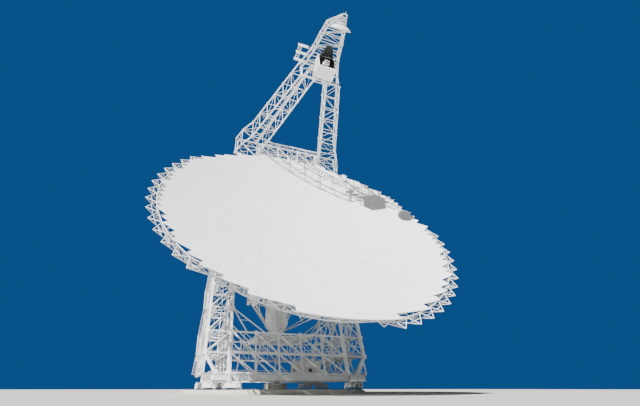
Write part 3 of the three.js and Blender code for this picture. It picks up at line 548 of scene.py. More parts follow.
def halfAngle(radius):
    cosine = (radius ** 2 + dish["centre"] ** 2 - dish["radius"] ** 2) / (2 * dish["centre"] * radius)
    return math.degrees(math.acos(max(-1, min(1, cosine))))


def tierPlan(tier):
    # inner and outer radius, angle of one panel and number of panels from the middle line to the rim
    inner = dish["centre"] - dish["radius"] + tier * tierPitch
    outer = inner + tierPitch
    count = next(n for n in dish["panelsPerQuarter"] if math.radians(90 / n) * outer <= dish["panelWidth"])
    step = 90 / count
    panels = max(1, math.floor(halfAngle((inner + outer) / 2) / step + dish["shortPanel"]))
    return inner, outer, step, panels


def toneFaces(obj, tones):
    layer = obj.data.attributes.new("panelTone", "FLOAT_COLOR", "FACE")
    for item, value in zip(layer.data, tones):
        item.color = (value, value, value, 1)


def makePanels(name, side):
    points, faces, tones, ribs = [], [], [], []
    dice = random.Random(18 + 7 * side)
    for tier in range(dish["tiers"]):
        inner, outer, step, panels = tierPlan(tier)
        for j in range(panels):
            corners = [dishPoint(side, r, a) for r, a in (
                (inner, j * step), (outer, j * step), (outer, (j + 1) * step), (inner, (j + 1) * step))]
            middle = sum(corners, Vector()) / 4
            shrunk = [corner + (middle - corner).normalized() * dish["gap"] * 0.7 for corner in corners]
            if side > 0:
                shrunk.reverse()
            faces.append(list(range(len(points), len(points) + 4)))
            points += shrunk
            tones.append(dice.uniform(*dish["tones"]))
            below = Vector((0, 0, dish["thickness"] + dish["ribHeight"] / 2))
            for share in (0.25, 0.75):
                ends = [corners[0].lerp(corners[3], share), corners[1].lerp(corners[2], share)]
                ribs.append([middle.lerp(end, dish["ribReach"]) - below for end in ends])
    obj = newMesh(name, points, faces=faces)
    toneFaces(obj, tones)
    facesDown = sum(face.normal.z for face in obj.data.polygons) < 0
    modify(obj, "SOLIDIFY", thickness=dish["thickness"], offset=1 if facesDown else -1)
    backs = beams(name + "Ribs", ribs, dish["ribHeight"] * 0.7)
    toneFaces(backs, [0.9] * len(backs.data.polygons))
    return tipped(join(name, [obj, backs]))


for word, side in sides.items():
    dress(makePanels("panels" + word.title(), side), "panel", "tipping_structure", ["reflector_" + word])
print("panels laid")

# Lattice behind the panels; starts gives the inner radius of the rib at each angle
backing = {"drop": 0.062, "middleDepth": 0.78, "rimDepth": 0.48, "bay": 0.6818,
           "starts": {0: 0.9, 6: 0.8, 12: 3.2, 18: 2.6, 24: 3.2, 30: 0.8, 36: 3.2, 42: 2.6,
                      48: 3.2, 54: 0.8, 60: 2.0, 66: 1.4, 72: 0.6},
           "bays": 16, "clearStart": 0.3, "clearEnd": 0.25, "clearHoop": 0.2, "chord": 0.036, "web": 0.024,
           "purlin": 0.014, "adjuster": 0.012, "legAngles": (6, 12, 18, 24, 30)}
# Edge of that lattice; on each side it stands out between the two angles given in long
rim = {"count": 30, "radius": 5.05, "shortRadius": 4.88, "tip": 5.34, "shortTip": 4.97, "tipDrop": 0.2,
       "taper": 0.07, "long": {-1: (48, 136), 1: (84, 168)}, "chord": 0.03, "strut": 0.024, "fine": 0.016}


def ribDepth(radius, angle):
    forward, across = polar(radius, angle)
    share = math.hypot(forward - dish["centre"], across) / dish["radius"]
    return lerp(backing["middleDepth"], backing["rimDepth"], min(share, 1.1) ** 2)


def standsOut(side, turn):
    low, high = rim["long"][side]
    return low < turn < high


def rimRadius(side, turn):
    return rim["radius" if standsOut(side, turn) else "shortRadius"]


def ribEnd(side, angle):
    # where a rib meets the edge; the first pass finds how far round that is, the second the true radius
    angle = math.radians(max(angle, 6))
    turn = 0
    for attempt in ("rough", "true"):
        reach = rimRadius(side, turn) ** 2 - (dish["centre"] * math.sin(angle)) ** 2
        end = dish["centre"] * math.cos(angle) + math.sqrt(max(0, reach))
        turn = math.degrees(math.atan2(end * math.sin(angle), dish["centre"] - end * math.cos(angle)))
    return end


def hoopRadii():
    return [dish["centre"] - dish["radius"] + i * backing["bay"] for i in range(1, backing["bays"])]


def ribStations(side, angle):
    start, end = backing["starts"][angle], ribEnd(side, angle)
    inside = [r for r in hoopRadii() if start + backing["clearStart"] < r < end - backing["clearEnd"]]
    return [start] + inside + [end]


def topPoint(side, radius, angle):
    return dishPoint(side, radius, angle, backing["drop"])


def lowPoint(side, radius, angle):
    return dishPoint(side, radius, angle, ribDepth(radius, angle))


def ribLines(side, angle):
    stations = ribStations(side, angle)
    top = [topPoint(side, r, angle) for r in stations]
    low = [lowPoint(side, r, angle) for r in stations]
    webs = list(zip(top, low))
    webs += [(low[i], top[i + 1]) if i % 2 else (top[i], low[i + 1]) for i in range(len(top) - 1)]
    return pairs(top) + pairs(low), webs


def hoopLines(side):
    # rings across the ribs, with diagonals on to the next ring
    chords, webs = [], []
    for i, radius in enumerate(hoopRadii(), 1):
        reached = [angle for angle, start in backing["starts"].items()
                   if start + backing["clearStart"] < radius < ribEnd(side, angle) - backing["clearHoop"]]
        for n, (a, b) in enumerate(pairs(reached)):
            top = [topPoint(side, radius, angle) for angle in (a, b)]
            low = [lowPoint(side, radius, angle) for angle in (a, b)]
            chords += [tuple(top), tuple(low)]
            webs.append((top[0], low[1]) if n % 2 else (low[0], top[1]))
            further = radius + backing["bay"]
            if i % 2 == n % 2 and further < min(ribEnd(side, a), ribEnd(side, b)) - backing["clearHoop"]:
                webs += [(low[0], lowPoint(side, further, b)), (top[0], topPoint(side, further, b))]
    return chords, webs


def rimPoint(side, turn, radius, drop):
    ahead, across = polar(radius, turn)
    return surfaceAt(side * across, dishMiddle + ahead, drop)


def rimLines(side):
    # a ring of two layers, with pointed brackets that stand out from it all round
    ring, struts, fine = [], [], []
    for start, end in pairs(spread(0, 180, rim["count"])):
        top = [rimPoint(side, turn, rimRadius(side, turn), backing["drop"]) for turn in (start, end)]
        low = [rimPoint(side, turn, rimRadius(side, turn) - rim["taper"], backing["rimDepth"])
               for turn in (start, end)]
        long = standsOut(side, start)
        tip = rimPoint(side, (start + end) / 2, rim["tip" if long else "shortTip"], rim["tipDrop"])
        ring += [tuple(top), tuple(low), (top[0], low[0])]
        struts += [(corner, tip) for corner in top + low] + [(top[0], low[1]), (low[0], top[1])]
        if long:
            halfway = [corner.lerp(tip, 0.5) for corner in (top[0], top[1], low[1], low[0])]
            fine += pairsRound(halfway)
            fine.append((top[0].lerp(top[1], 0.5), low[0].lerp(low[1], 0.5)))
    return ring, struts, fine


def purlinLines(side):
    # light bars under the edges of the tiers, and the pegs that hold the panels on them
    purlins, pegs = [], []
    low = backing["drop"] - backing["purlin"]
    for tier in range(dish["tiers"]):
        inner, outer, step, panels = tierPlan(tier)
        for radius in ((inner, outer) if tier == dish["tiers"] - 1 else (inner,)):
            angles = [j * step for j in range(panels + 1)]
            rough = angles[::2] + ([angles[-1]] if len(angles) % 2 == 0 else [])
            purlins.append([dishPoint(side, radius, angle, low) for angle in rough])
            pegs += [(dishPoint(side, radius, angle, dish["thickness"] + 0.002),
                      dishPoint(side, radius, angle, low)) for angle in angles]
    return purlins, pegs


# Sloping frame on which the lattice stands
seat = {"slope": 0.45, "rise": 1.87, "halfWidth": 1.7, "near": 3.25, "far": 3.0, "depth": 0.07,
        "margin": 0.1}
seatLean = math.atan(seat["slope"])


def seatHeight(y):
    return seat["rise"] - seat["slope"] * (y - dishMiddle)


def keelLines(side):
    # legs from the lattice down to the sloping frame
    legs, webs = [], []
    down = Vector((0, math.sin(seatLean), math.cos(seatLean)))
    for angle in backing["legAngles"]:
        rib = []
        for radius in ribStations(side, angle)[1:-1]:
            top = lowPoint(side, radius, angle)
            drop = (top.z - seatHeight(top.y)) * math.cos(seatLean)
            foot = top - down * drop
            within = seat["margin"] - seat["far"] < foot.y < seat["near"] - seat["margin"]
            if drop > 0 and within and abs(foot.x) < seat["halfWidth"]:
                rib.append((top, foot))
        legs += rib
        webs += [(a[1], b[0]) for a, b in pairs(rib)]
    return legs, webs


def makeBacking(name, side):
    chords, webs = [], []
    ribs = [ribLines(side, angle) for angle in backing["starts"] if angle > 0 or side < 0]
    for moreChords, moreWebs in ribs + [hoopLines(side), keelLines(side)]:
        chords += moreChords
        webs += moreWebs
    purlins, pegs = purlinLines(side)
    parts = [tubes("chords", chords, backing["chord"]), tubes("webs", webs, backing["web"]),
             beams("purlins", purlins, backing["purlin"]), beams("pegs", pegs, backing["adjuster"])]
    return tipped(join(name, parts))


def makeRim(name, side):
    ring, struts, fine = rimLines(side)
    parts = [tubes("ring", ring, rim["chord"]), tubes("struts", struts, rim["strut"]),
             tubes("fine", fine, rim["fine"])]
    return tipped(join(name, parts))


for word, side in sides.items():
    dress(makeBacking("backing" + word.title(), side), "paint", "tipping_structure",
          ["backing_lattice_" + word])
    dress(makeRim("rim" + word.title(), side), "paint", "tipping_structure")
print("backing lattice built")

# Box structure between the axle and the dish; points are (y, z) in the tipping frame
frameBox = {"plane": 1.5, "chord": 0.07, "web": 0.05, "fine": 0.028, "boss": 0.26, "bore": 0.1203,
            "bossHalf": 0.08, "bolts": (20, 0.22, 0.012), "plate": (0.24, 0.082), "topPlate": (0.22, 0.074),
            "cell": 0.9, "topCell": 1.0, "tops": (3.25, 1.7, 0.15, -1.4, -2.95),
            "points": {"nearLow": (3.25, -0.34), "lowA": (1.9, -0.25), "footNear": (0.45, -0.02),
                       "footFar": (-0.45, -0.02), "lowB": (-2.0, 0.6), "lowC": (-2.55, 1.68),
                       "middle": (-1.0, 1.05)}}
boxCells = ("nearLow lowA nearTop", "lowA topA nearTop", "lowA footNear topA", "footNear topB topA",
            "footNear footFar topB", "footFar middle topB", "middle topC topB", "footFar lowB middle",
            "lowB lowC middle", "middle lowC topC", "lowC farTop topC")


def boxNodes():
    under = seat["depth"] * 1.5 / math.cos(seatLean)
    nodes = dict(frameBox["points"])
    for name, y in zip(("nearTop", "topA", "topB", "topC", "farTop"), frameBox["tops"]):
        nodes[name] = (y, seatHeight(y) - under)
    return nodes


def makeBoxSide(name, side):
    nodes = boxNodes()
    x, half = side * frameBox["plane"], frameBox["bossHalf"]
    cells = [tuple(Vector((x, *nodes[key])) for key in cell.split()) for cell in boxCells]
    mainBars = sidesOf(cells)
    joined = [point for point in cornersOf(mainBars) if abs(point[2]) > 0.1]
    boss = [sleeve("boss", frameBox["bore"], frameBox["boss"], half),
            bolts("bossBolts", *frameBox["bolts"], "X", (side * half, 0, 0), 0.03)]
    parts = [beams("main", mainBars, frameBox["chord"]),
             tubes("fine", finerBars(cells, frameBox["cell"]), frameBox["fine"]),
             gussets("plates", joined, *frameBox["plate"], spin(90, "Z")),
             moved(join("boss", boss), shift(x, 0, 0))]
    return tipped(join(name, parts))


def makeBoxTop():
    rows = []
    middleZ = seat["rise"] - seat["depth"] / 2 / math.cos(seatLean)
    near = seat["near"] - seat["depth"] / 2 - dishMiddle
    for t in spread(-(seat["far"] + dishMiddle), near, 4):
        rows.append([Vector((x, dishMiddle + t, middleZ - seat["slope"] * t))
                     for x in spread(-seat["halfWidth"], seat["halfWidth"], 3)])
    cells = [cell for a, b in pairs(rows) for cell in zigzag(a, b)]
    plates = gussets("plates", [point for row in rows for point in row], *frameBox["topPlate"],
                     spin(90 - math.degrees(seatLean), "X"))
    parts = [beams("main", sidesOf(cells), seat["depth"]),
             tubes("fine", finerBars(cells, frameBox["topCell"]), frameBox["fine"]), plates]
    return tipped(join("boxTop", parts))


def makeBoxCrossing():
    # frames across between the two sides
    nodes = boxNodes()
    inner = frameBox["plane"] - frameBox["chord"] / 2
    chords = [(Vector((-inner, y, z)), Vector((inner, y, z))) for key, (y, z) in nodes.items()
              if not key.startswith("foot")]
    webs = []
    for a, b in (("nearLow", "nearTop"), ("lowA", "topA"), ("middle", "topC"), ("lowC", "farTop"),
                 ("nearLow", "lowA"), ("lowC", "middle")):
        low = [Vector((x, *nodes[a])) for x in (-inner, 0, inner)]
        top = [Vector((x, *nodes[b])) for x in (-inner, 0, inner)]
        webs += [(low[0], top[1]), (top[1], low[2]), (top[0], low[1]), (low[1], top[2]), (low[1], top[1])]
    parts = [tubes("across", chords, frameBox["web"]), tubes("webs", webs, frameBox["fine"])]
    return tipped(join("boxCrossing", parts))


# Struts that fan out from the box to the toothed wheel and to the counterweights
wheelFan = {"turns": (180, 280, 5), "inset": 0.09, "root": 0.2, "rim": 2.6, "shares": (0.36, 0.68),
            "ring": 1.5, "cornerInset": 0.04, "tip": (0.17, -2.36, -1.4), "heel": (0.33, -1.2, -1.45),
            "strut": 0.042}


def makeWheelStruts():
    struts, ties = [], []
    corners = boxNodes()
    turns = spread(*wheelFan["turns"])
    for side in (-1, 1):
        rows = []
        for turn in turns:
            root = Vector((side * (frameBox["plane"] - wheelFan["inset"]), *polar(wheelFan["root"], turn)))
            end = Vector((0, *polar(wheelFan["rim"], turn)))
            struts.append((root, end))
            rows.append([root.lerp(end, share) for share in wheelFan["shares"]])
        for a, b in pairs(rows):
            ties += [(a[0], b[0]), (a[1], b[1]), (a[0], b[1])]
        ties += [(row[1], Vector((0, *polar(wheelFan["ring"], turn)))) for row, turn in zip(rows, turns)]
        lowB, lowC, foot = [Vector((side * (frameBox["plane"] - wheelFan["cornerInset"]), *corners[key]))
                            for key in ("lowB", "lowC", "footFar")]
        tip, heel = [Vector((side * x, y, z)) for x, y, z in (wheelFan["tip"], wheelFan["heel"])]
        struts += [(lowC, tip), (lowB, tip), (lowB, heel), (foot, heel)]
        upper, lower = lowC.lerp(tip, 0.5), lowB.lerp(tip, 0.5)
        ties += [(upper, lower), (upper, lowB), (lower, lowB.lerp(heel, 0.5)), (lower, lowB.lerp(heel, 0.25))]
    parts = [tubes("struts", struts, wheelFan["strut"]), tubes("ties", ties, frameBox["fine"])]
    return tipped(join("wheelStruts", parts))


# Struts from the lower corners of the box to the lattice behind the lower half of the dish
lowerFan = {"angles": (6, 12, 24, 36), "beyond": 7.2, "short": 0.5, "inner": 0.55, "outer": 0.8,
            "strut": 0.036, "tie": 0.024}


def makeLowerFan():
    struts, ties = [], []
    inner, outer = lowerFan["inner"], lowerFan["outer"]
    for side in (-1, 1):
        hub, rear = [Vector((side * frameBox["plane"], *boxNodes()[key])) for key in ("lowC", "farTop")]
        rows = []
        for angle in lowerFan["angles"]:
            limit = ribEnd(side, angle) - lowerFan["short"]
            reached = [r for r in ribStations(side, angle) if lowerFan["beyond"] < r < limit][::2]
            rows.append([lowPoint(side, r, angle) for r in reached])
            struts += [(hub, point) for point in rows[-1]]
            for last, point in pairs(rows[-1]):
                ties += [(hub.lerp(point, inner), hub.lerp(last, inner)), (hub.lerp(point, outer), last)]
        for a, b in pairs(rows):
            for p, q in zip(a, b):
                ties += [(hub.lerp(p, share), hub.lerp(q, inner)) for share in (inner, outer)]
        ties.append((hub, rear))
    parts = [tubes("struts", struts, lowerFan["strut"]), tubes("ties", ties, lowerFan["tie"])]
    return tipped(join("lowerFan", parts))


for word, side in sides.items():
    dress(makeBoxSide("boxSide" + word.title(), side), "paint", "tipping_structure", ["box_side_" + word])
dress(makeBoxTop(), "paint", "tipping_structure", ["box_top_frame"])
dress(makeBoxCrossing(), "paint", "tipping_structure")
dress(makeWheelStruts(), "paint", "tipping_structure")
dress(makeLowerFan(), "paint", "tipping_structure")
print("box structure built")

# Elevation shaft, toothed wheel and counterweights, in the tipping frame
gear = {"radius": 2.8, "depth": 0.13, "half": 0.035, "start": 172, "end": 288, "sectors": 6,
        "hub": 0.44, "inner": 0.97, "middle": 1.5, "outer": 2.1, "boss": 0.3, "bossHalf": 0.08, "web": 0.06,
        "fine": 0.03, "tooth": 0.03, "teeth": 180, "face": 0.022, "edge": 0.012, "plate": (0.2, 0.066),
        "bolts": (18, 0.26, 0.013)}
shaft = {"radius": 0.12, "half": 2.96, "collar": 0.145, "collars": (1.62, 1.98), "chamfer": 0.01}
weight = {"inner": 0.0353, "halves": (0.12, 0.4), "band": 0.02, "seam": 0.012, "plates": 3, "strap": 0.018,
          "ribs": (0.3, 0.55, 0.8), "rib": 0.01,
          "outline": [(-1.55, -0.33), (-2.73, -0.48), (-2.37, -1.44), (-1.80, -2.06), (-1.08, -1.42)]}


def yz(x, radius, degrees):
    return Vector((x, *polar(radius, degrees)))


def makeGear():
    start, end = gear["start"], gear["end"]
    inner, roots, tips = [gear["radius"] - depth for depth in (gear["depth"], gear["tooth"], 0.002)]
    quarter = (end - start) / gear["teeth"] / 4
    rack = []
    for turn in spread(start, end, gear["teeth"]):
        rack += [polar(roots, turn - quarter), polar(tips, turn - quarter / 2),
                 polar(tips, turn + quarter / 2), polar(roots, turn + quarter)]
    rack += [polar(inner, turn) for turn in spread(end, start, 90)]
    outline = [Vector((-gear["face"], y, z)) for y, z in rack]
    parts = [slab("rack", outline, (2 * gear["face"], 0, 0))]
    for x in (0.006 - gear["half"], gear["half"] - 0.006):
        for radius in (inner + 0.008, gear["radius"] - 0.045):
            lip = [yz(x, radius, turn) for turn in spread(start, end, 48)]
            parts.append(beams("lip", [lip], gear["edge"]))
    spokes, webs, plates = [], [], []
    turns = spread(start, end, gear["sectors"])
    for turn in turns:
        spokes.append((yz(0, gear["boss"] - 0.04, turn), yz(0, inner + 0.02, turn)))
        plates += [yz(0, gear["middle"], turn), yz(0, inner - 0.02, turn)]
    hub, middle, outer = gear["hub"], gear["middle"], gear["outer"]
    for a, b in pairs(turns):
        half = (a + b) / 2
        spokes.append((yz(0, middle, a), yz(0, middle, b)))
        ends = [((hub, a), (hub, b)), ((gear["inner"], a), (gear["inner"], b)),
                ((middle, a), (inner, half)), ((middle, b), (inner, half)), ((middle, half), (inner, half)),
                ((outer, a), (outer, half)), ((outer, half), (outer, b)),
                ((hub, a), (middle, half)), ((middle, half), (hub, b))]
        webs += [(yz(0, *first), yz(0, *last)) for first, last in ends]
    parts += [beams("spokes", spokes, gear["web"]), beams("webs", webs, gear["fine"]),
              gussets("plates", plates, *gear["plate"], spin(90, "Z")),
              sleeve("boss", frameBox["bore"], gear["boss"], gear["bossHalf"])]
    for side in (-1, 1):
        parts.append(bolts("hubBolts", *gear["bolts"], "X", (side * gear["bossHalf"], 0, 0), 0.026))
    return tipped(join("elevationGear", parts))


def makeShaft():
    end, radius, chamfer = shaft["half"], shaft["radius"], shaft["chamfer"]
    profile = [(0, -end), (radius - chamfer, -end), (radius, chamfer - end), (radius, end - chamfer),
               (radius - chamfer, end), (0, end)]
    parts = [turned("barrel", profile, 64, "X")]
    for side in (-1, 1):
        parts += [drum(shaft["collar"], 0.05, "X", (side * x, 0, 0), 48) for x in shaft["collars"]]
        parts.append(drum(0.05, 0.012, "X", (side * (end - 0.008), 0, 0), 24))
    return tipped(join("elevationShaft", parts))


def makeWeight(name, side):
    # ballast plates held by straps, narrower towards the far end
    outline, inset = weight["outline"], weight["band"]
    centre = sum((Vector(point) for point in outline), Vector((0, 0))) / len(outline)
    ends = [y for y, z in outline]

    def ring(shrink, share):
        # the outline, shrunk, at a share of the way from the inner face to the outer one
        placed = []
        for point in outline:
            out = Vector(point) - centre
            y, z = centre + out * (1 - shrink / out.length)
            width = lerp(*weight["halves"], (y - min(ends)) / (max(ends) - min(ends)))
            placed.append(Vector((side * lerp(weight["inner"], width, share), y, z)))
        return placed

    parts = []
    for a, b in pairs(spread(0.0, 1.0, weight["plates"])):
        near, far = ring(inset, a + weight["seam"]), ring(inset, b - weight["seam"])
        count = len(near)
        faces = [list(range(count)), list(range(count, 2 * count))]
        faces += [[i, j, count + j, count + i] for i, j in pairsRound(list(range(count)))]
        plate = newMesh("plate", near + far, faces=faces)
        outward(plate)
        parts.append(bevelled(plate, 0.006, 20))
    straps = list(zip(ring(inset * 0.55, 0.02), ring(inset * 0.55, 0.98)))
    for share in (0.03, 0.97):
        straps += pairsRound(ring(inset * 0.8, share))
    face = ring(inset * 1.2, 0.99)
    ribs = [(face[1].lerp(face[0], share), face[2].lerp(face[4], share)) for share in weight["ribs"]]
    parts += [beams("straps", straps, weight["strap"]), beams("ribs", ribs, weight["rib"])]
    return tipped(join(name, parts))


dress(makeGear(), "paint", "tipping_structure", ["elevation_wheel"])
dress(makeShaft(), "steel", "tipping_structure", ["elevation_shaft"])
for word, side in sides.items():
    dress(makeWeight("ballast" + word.title(), side), "ballast", "tipping_structure",
          ["counterweight_" + word])
print("elevation wheel built")

# Feed arm: backs are measured behind the vertex and rises above it
arm = {"front": 0.1, "back": 1.2, "nodes": (-0.8, 0.45, 1.7, 2.95, 4.2), "outer": (2.25, 0.33),
       "inner": (1.43, 0.275), "footSpread": 0.18, "chord": 0.05, "web": 0.03, "fine": 0.018,
       "rootHalf": 2.6, "rootLevels": (-0.28, 0.25), "rootBays": 8, "rootCell": 0.5, "gap": 0.0003,
       "bar": 0.046, "walk": 0.07, "walkSide": 0.12, "walkIn": 0.14, "plate": (0.09, 0.056), "tieTop": 0.12,
       "tieIn": 0.03, "tieDepths": (0.11, 0.36), "tieChord": 0.042, "tieWeb": 0.024}
walk = {"tread": 0.12, "postEvery": 4, "post": 0.1, "stringerWidth": 0.016, "treadWidth": 0.014,
        "rail": 0.008}


def armPoint(x, back, rise):
    return Vector((x, dish["vertexBack"] + back, dish["vertexRise"] + rise))


def armEdge(name, rise):
    start, slope = arm[name]
    flare = arm["footSpread"] if name == "outer" and rise < 0 else 0
    return start - slope * rise + flare


def boxedTruss(stations, chordWidth, webWidth, fineWidth):
    # stations are rings of four corners, joined by chords, by rings and by one diagonal on each face
    chords, fine = [], []
    for i, (a, b) in enumerate(pairs(stations)):
        chords += list(zip(a, b))
        for j, k in pairsRound(list(range(len(a)))):
            fine.append((a[j], b[k]) if (i + j) % 2 else (a[k], b[j]))
    webs = [bar for ring in stations for bar in pairsRound(ring)]
    return [beams("chords", chords, chordWidth), tubes("webs", webs, webWidth),
            tubes("fine", fine, fineWidth)]


def walkway(name, path, width, upward, sideways):
    # a strip of treads between two stringers, with a handrail on one side
    stringers, treads, rails = [], [], []
    edge, post = sideways * width / 2, upward * walk["post"]
    for a, b in pairs(path):
        count = max(2, round((b - a).length / walk["tread"]))
        stringers += [(a - edge, b - edge), (a + edge, b + edge)]
        places = [a.lerp(b, i / count) for i in range(count + 1)]
        treads += [(at - edge, at + edge) for at in places]
        rails += [(at + edge, at + edge + post) for at in places[::walk["postEvery"]]]
        rails += [(a + edge + post * share, b + edge + post * share) for share in (0.5, 1)]
    return [beams(name + "Stringers", stringers, walk["stringerWidth"]),
            beams(name + "Treads", treads, walk["treadWidth"]), tubes(name + "Rails", rails, walk["rail"])]


def withMiddles(values):
    # the values, and the middle of each step between two of them
    return [v for a, b in pairs(values) for v in (a, (a + b) / 2)] + [values[-1]]


def makeArmLeg(name, side):
    rises = withMiddles(arm["nodes"])
    stations = []
    for rise in rises:
        inner, outer = side * armEdge("inner", rise), side * armEdge("outer", rise)
        stations.append([armPoint(inner, arm["front"], rise), armPoint(outer, arm["front"], rise),
                         armPoint(outer, arm["back"], rise), armPoint(inner, arm["back"], rise)])
    parts = boxedTruss(stations, arm["chord"], arm["web"], arm["fine"])
    joined = [corner for ring in stations[::2] for corner in ring]
    path = [armPoint(side * (armEdge("inner", rise) + arm["walkSide"]), arm["back"] - arm["walkIn"], rise)
            for rise in rises]
    parts.append(gussets("plates", joined, *arm["plate"]))
    parts += walkway("walk", path, arm["walk"], Vector((0, 1, 0)), Vector((1, 0, 0)))
    return tipped(join(name, parts))


def makeArmRoot():
    bays, half = arm["rootBays"], frameBox["plane"]
    rootTop = dish["vertexRise"] + arm["nodes"][0] - arm["bar"] - arm["gap"]
    start = seat["near"] + seat["depth"] / 2 + arm["bar"] / 2 + arm["gap"]
    ys = spread(start, dish["vertexBack"] + arm["back"], bays)
    lows = spread(*arm["rootLevels"], bays)
    chords, webs, fine = [], [], []
    for x in (-half, half):
        top = [Vector((x, y, rootTop)) for y in ys]
        low = [Vector((x, y, z)) for y, z in zip(ys, lows)]
        chords += pairs(top) + pairs(low)
        webs += list(zip(top, low))
        webs += [(top[i], low[i + 1]) if i % 2 else (low[i], top[i + 1]) for i in range(bays)]
    for i, y in enumerate(ys):
        webs += [(Vector((-half, y, z)), Vector((half, y, z))) for z in (rootTop, lows[i])]
        if i % 2 == 0:
            fine += [(Vector((x, y, rootTop)), Vector((0, y, lows[i]))) for x in (-half, half)]
    for near, far in pairs(ys[::2]):
        fine += [(Vector((-x, near, rootTop)), Vector((x, far, rootTop))) for x in (half, -half)]
    xs = spread(-arm["rootHalf"], arm["rootHalf"], 5)
    deck = zigzag(*([Vector((x, dish["vertexBack"] + back, rootTop)) for x in xs]
                    for back in (arm["front"], arm["back"])))
    parts = [beams("chords", chords, arm["chord"]), tubes("webs", webs, arm["web"]),
             tubes("fine", fine, arm["fine"]), beams("deck", sidesOf(deck), arm["bar"]),
             tubes("deckFine", finerBars(deck, arm["rootCell"]), arm["fine"])]
    return tipped(join("armRoot", parts))


def makeArmTie():
    # truss across between the two legs, over the rim of the dish
    low, high = arm["nodes"][0], arm["tieTop"]
    near, far = arm["tieDepths"]
    stations = []
    for share in spread(-1, 1, 4):
        lowX, highX = [share * (armEdge("inner", rise) - arm["tieIn"]) for rise in (low, high)]
        stations.append([armPoint(lowX, near, low), armPoint(highX, near, high),
                         armPoint(highX, far, high), armPoint(lowX, far, low)])
    return tipped(join("armTie", boxedTruss(stations, arm["tieChord"], arm["tieWeb"], arm["fine"])))


for word, side in sides.items():
    dress(makeArmLeg("armLeg" + word.title(), side), "paint", "tipping_structure", [f"arm_{word}_leg"])
dress(makeArmRoot(), "paint", "tipping_structure", ["arm_root_truss"])
dress(makeArmTie(), "paint", "tipping_structure")

# Head of the arm, with the receiver room and the upper mirror
head = {"rises": (4.2463, 5.05, 5.7, 6.25), "halves": (0.82, 0.56, 0.46, 0.36), "front": 0.72,
        "apexBack": 0.26, "apexRise": 7.04, "apexHalf": 0.07, "mast": (0.043, 0.075, 0.02), "chord": 0.044,
        "web": 0.026, "spar": 0.034, "tieShares": (0.25, 0.5, 0.75), "hook": (0.14, 0.17),
        "plate": (0.08, 0.05)}
mirror = {"back": 0.13, "rise": 6.54, "tilt": 23.5, "radius": 0.398, "depth": 0.14, "hollow": 0.035,
          "dome": [(0.36, 0.03), (0.28, 0.08), (0.19, 0.12), (0.1, 0.14), (0, 0.14)],
          "rib": [(0.19, 0.122), (0.28, 0.082), (0.385, 0.012)], "mount": 0.19, "jacks": (0.15, 0.08)}
mirrorPlace = shift(*armPoint(0, mirror["back"], mirror["rise"])) @ spin(-mirror["tilt"], "X")


def sparPoint(side, back, share):
    return armPoint(side * lerp(head["halves"][-1], head["apexHalf"], share),
                    lerp(back, head["apexBack"], share), lerp(head["rises"][-1], head["apexRise"], share))


def makeArmHead():
    front, back = head["front"], arm["back"]
    stations = [[armPoint(-half, front, rise), armPoint(half, front, rise), armPoint(half, back, rise),
                 armPoint(-half, back, rise)]
                for rise, half in zip(withMiddles(head["rises"]), withMiddles(head["halves"]))]
    half, base = head["halves"][0], head["rises"][0]
    shelf = [(armPoint(x, arm["front"], base), armPoint(x, back, base)) for x in (-half, half)]
    shelf.append((armPoint(-half, arm["front"], base), armPoint(half, arm["front"], base)))
    # four spars lean together above the head, with ties on each side of them
    spars = [(sparPoint(side, at, 0), sparPoint(side, at, 1)) for side in (-1, 1) for at in (front, back)]
    spars.append((sparPoint(-1, back, 1), sparPoint(1, back, 1)))
    ties = []
    for share in head["tieShares"]:
        for a, b in (((-1, front), (-1, back)), ((1, front), (1, back)), ((-1, front), (1, front)),
                     ((-1, back), (1, back))):
            ties += [(sparPoint(*a, start), sparPoint(*b, share)) for start in (share, share - 0.25)]
    for side in (-1, 1):
        hook = mirrorPlace @ Vector((side * head["hook"][0], 0, head["hook"][1]))
        ties += [(hook, sparPoint(side, front, share)) for share in (1, 0.5)]
    mastBack, mastRise, mastWidth = head["mast"]
    mast = [(armPoint(0, head["apexBack"], head["apexRise"]),
             armPoint(0, head["apexBack"] + mastBack, head["apexRise"] + mastRise))]
    joined = [corner for ring in stations[:-1:2] for corner in ring]
    parts = boxedTruss(stations, head["chord"], head["web"], arm["fine"])
    parts += [beams("shelf", shelf, head["chord"]), beams("spars", spars, head["spar"]),
              tubes("ties", ties, arm["fine"]), tubes("mast", mast, mastWidth),
              gussets("plates", joined, *head["plate"])]
    return tipped(join("armHead", parts))


# Caged ladder with landings on the left of the head; steps are (across, back) from its corner
lift = {"corner": (-1.08, 1.0), "rises": (4.35, 5.0, 6), "landings": (0, 3, 6),
        "cage": [(-0.06, 0), (0.06, 0), (0.06, 0.14), (-0.06, 0.14)],
        "landing": (0.42, 0.2, 0.016), "landingFrom": (-0.1, -0.03, -0.008),
        "bridge": (-0.08, 0.46), "rail": 0.1, "posts": (0.1, 0.2, 0.3), "railEnds": (0.04, 0.32)}


def makeLift():
    def at(across, back, rise):
        return armPoint(lift["corner"][0] + across, lift["corner"][1] + back, rise)

    rises = spread(*lift["rises"])
    rails = [[at(*corner, rise) for rise in rises] for corner in lift["cage"]]
    hoops = [[at(*corner, rise) for corner in lift["cage"] + lift["cage"][:1]] for rise in rises]
    decks = []
    for i in lift["landings"]:
        rise, top = rises[i], rises[i] + lift["rail"]
        across, back, down = lift["landingFrom"]
        low = at(across, back, rise + down)
        decks.append(block(low, low + Vector(lift["landing"]), 0.002))
        hoops += [[at(x, back, rise) for x in lift["bridge"]] for back in (0, 0.14)]
        hoops += [[at(x, -0.02, rise), at(x, -0.02, top)] for x in lift["posts"]]
        hoops.append([at(x, -0.02, top) for x in lift["railEnds"]])
    parts = [beams("rails", rails, 0.012), beams("hoops", hoops, 0.009)] + decks
    return tipped(join("headLadder", parts))


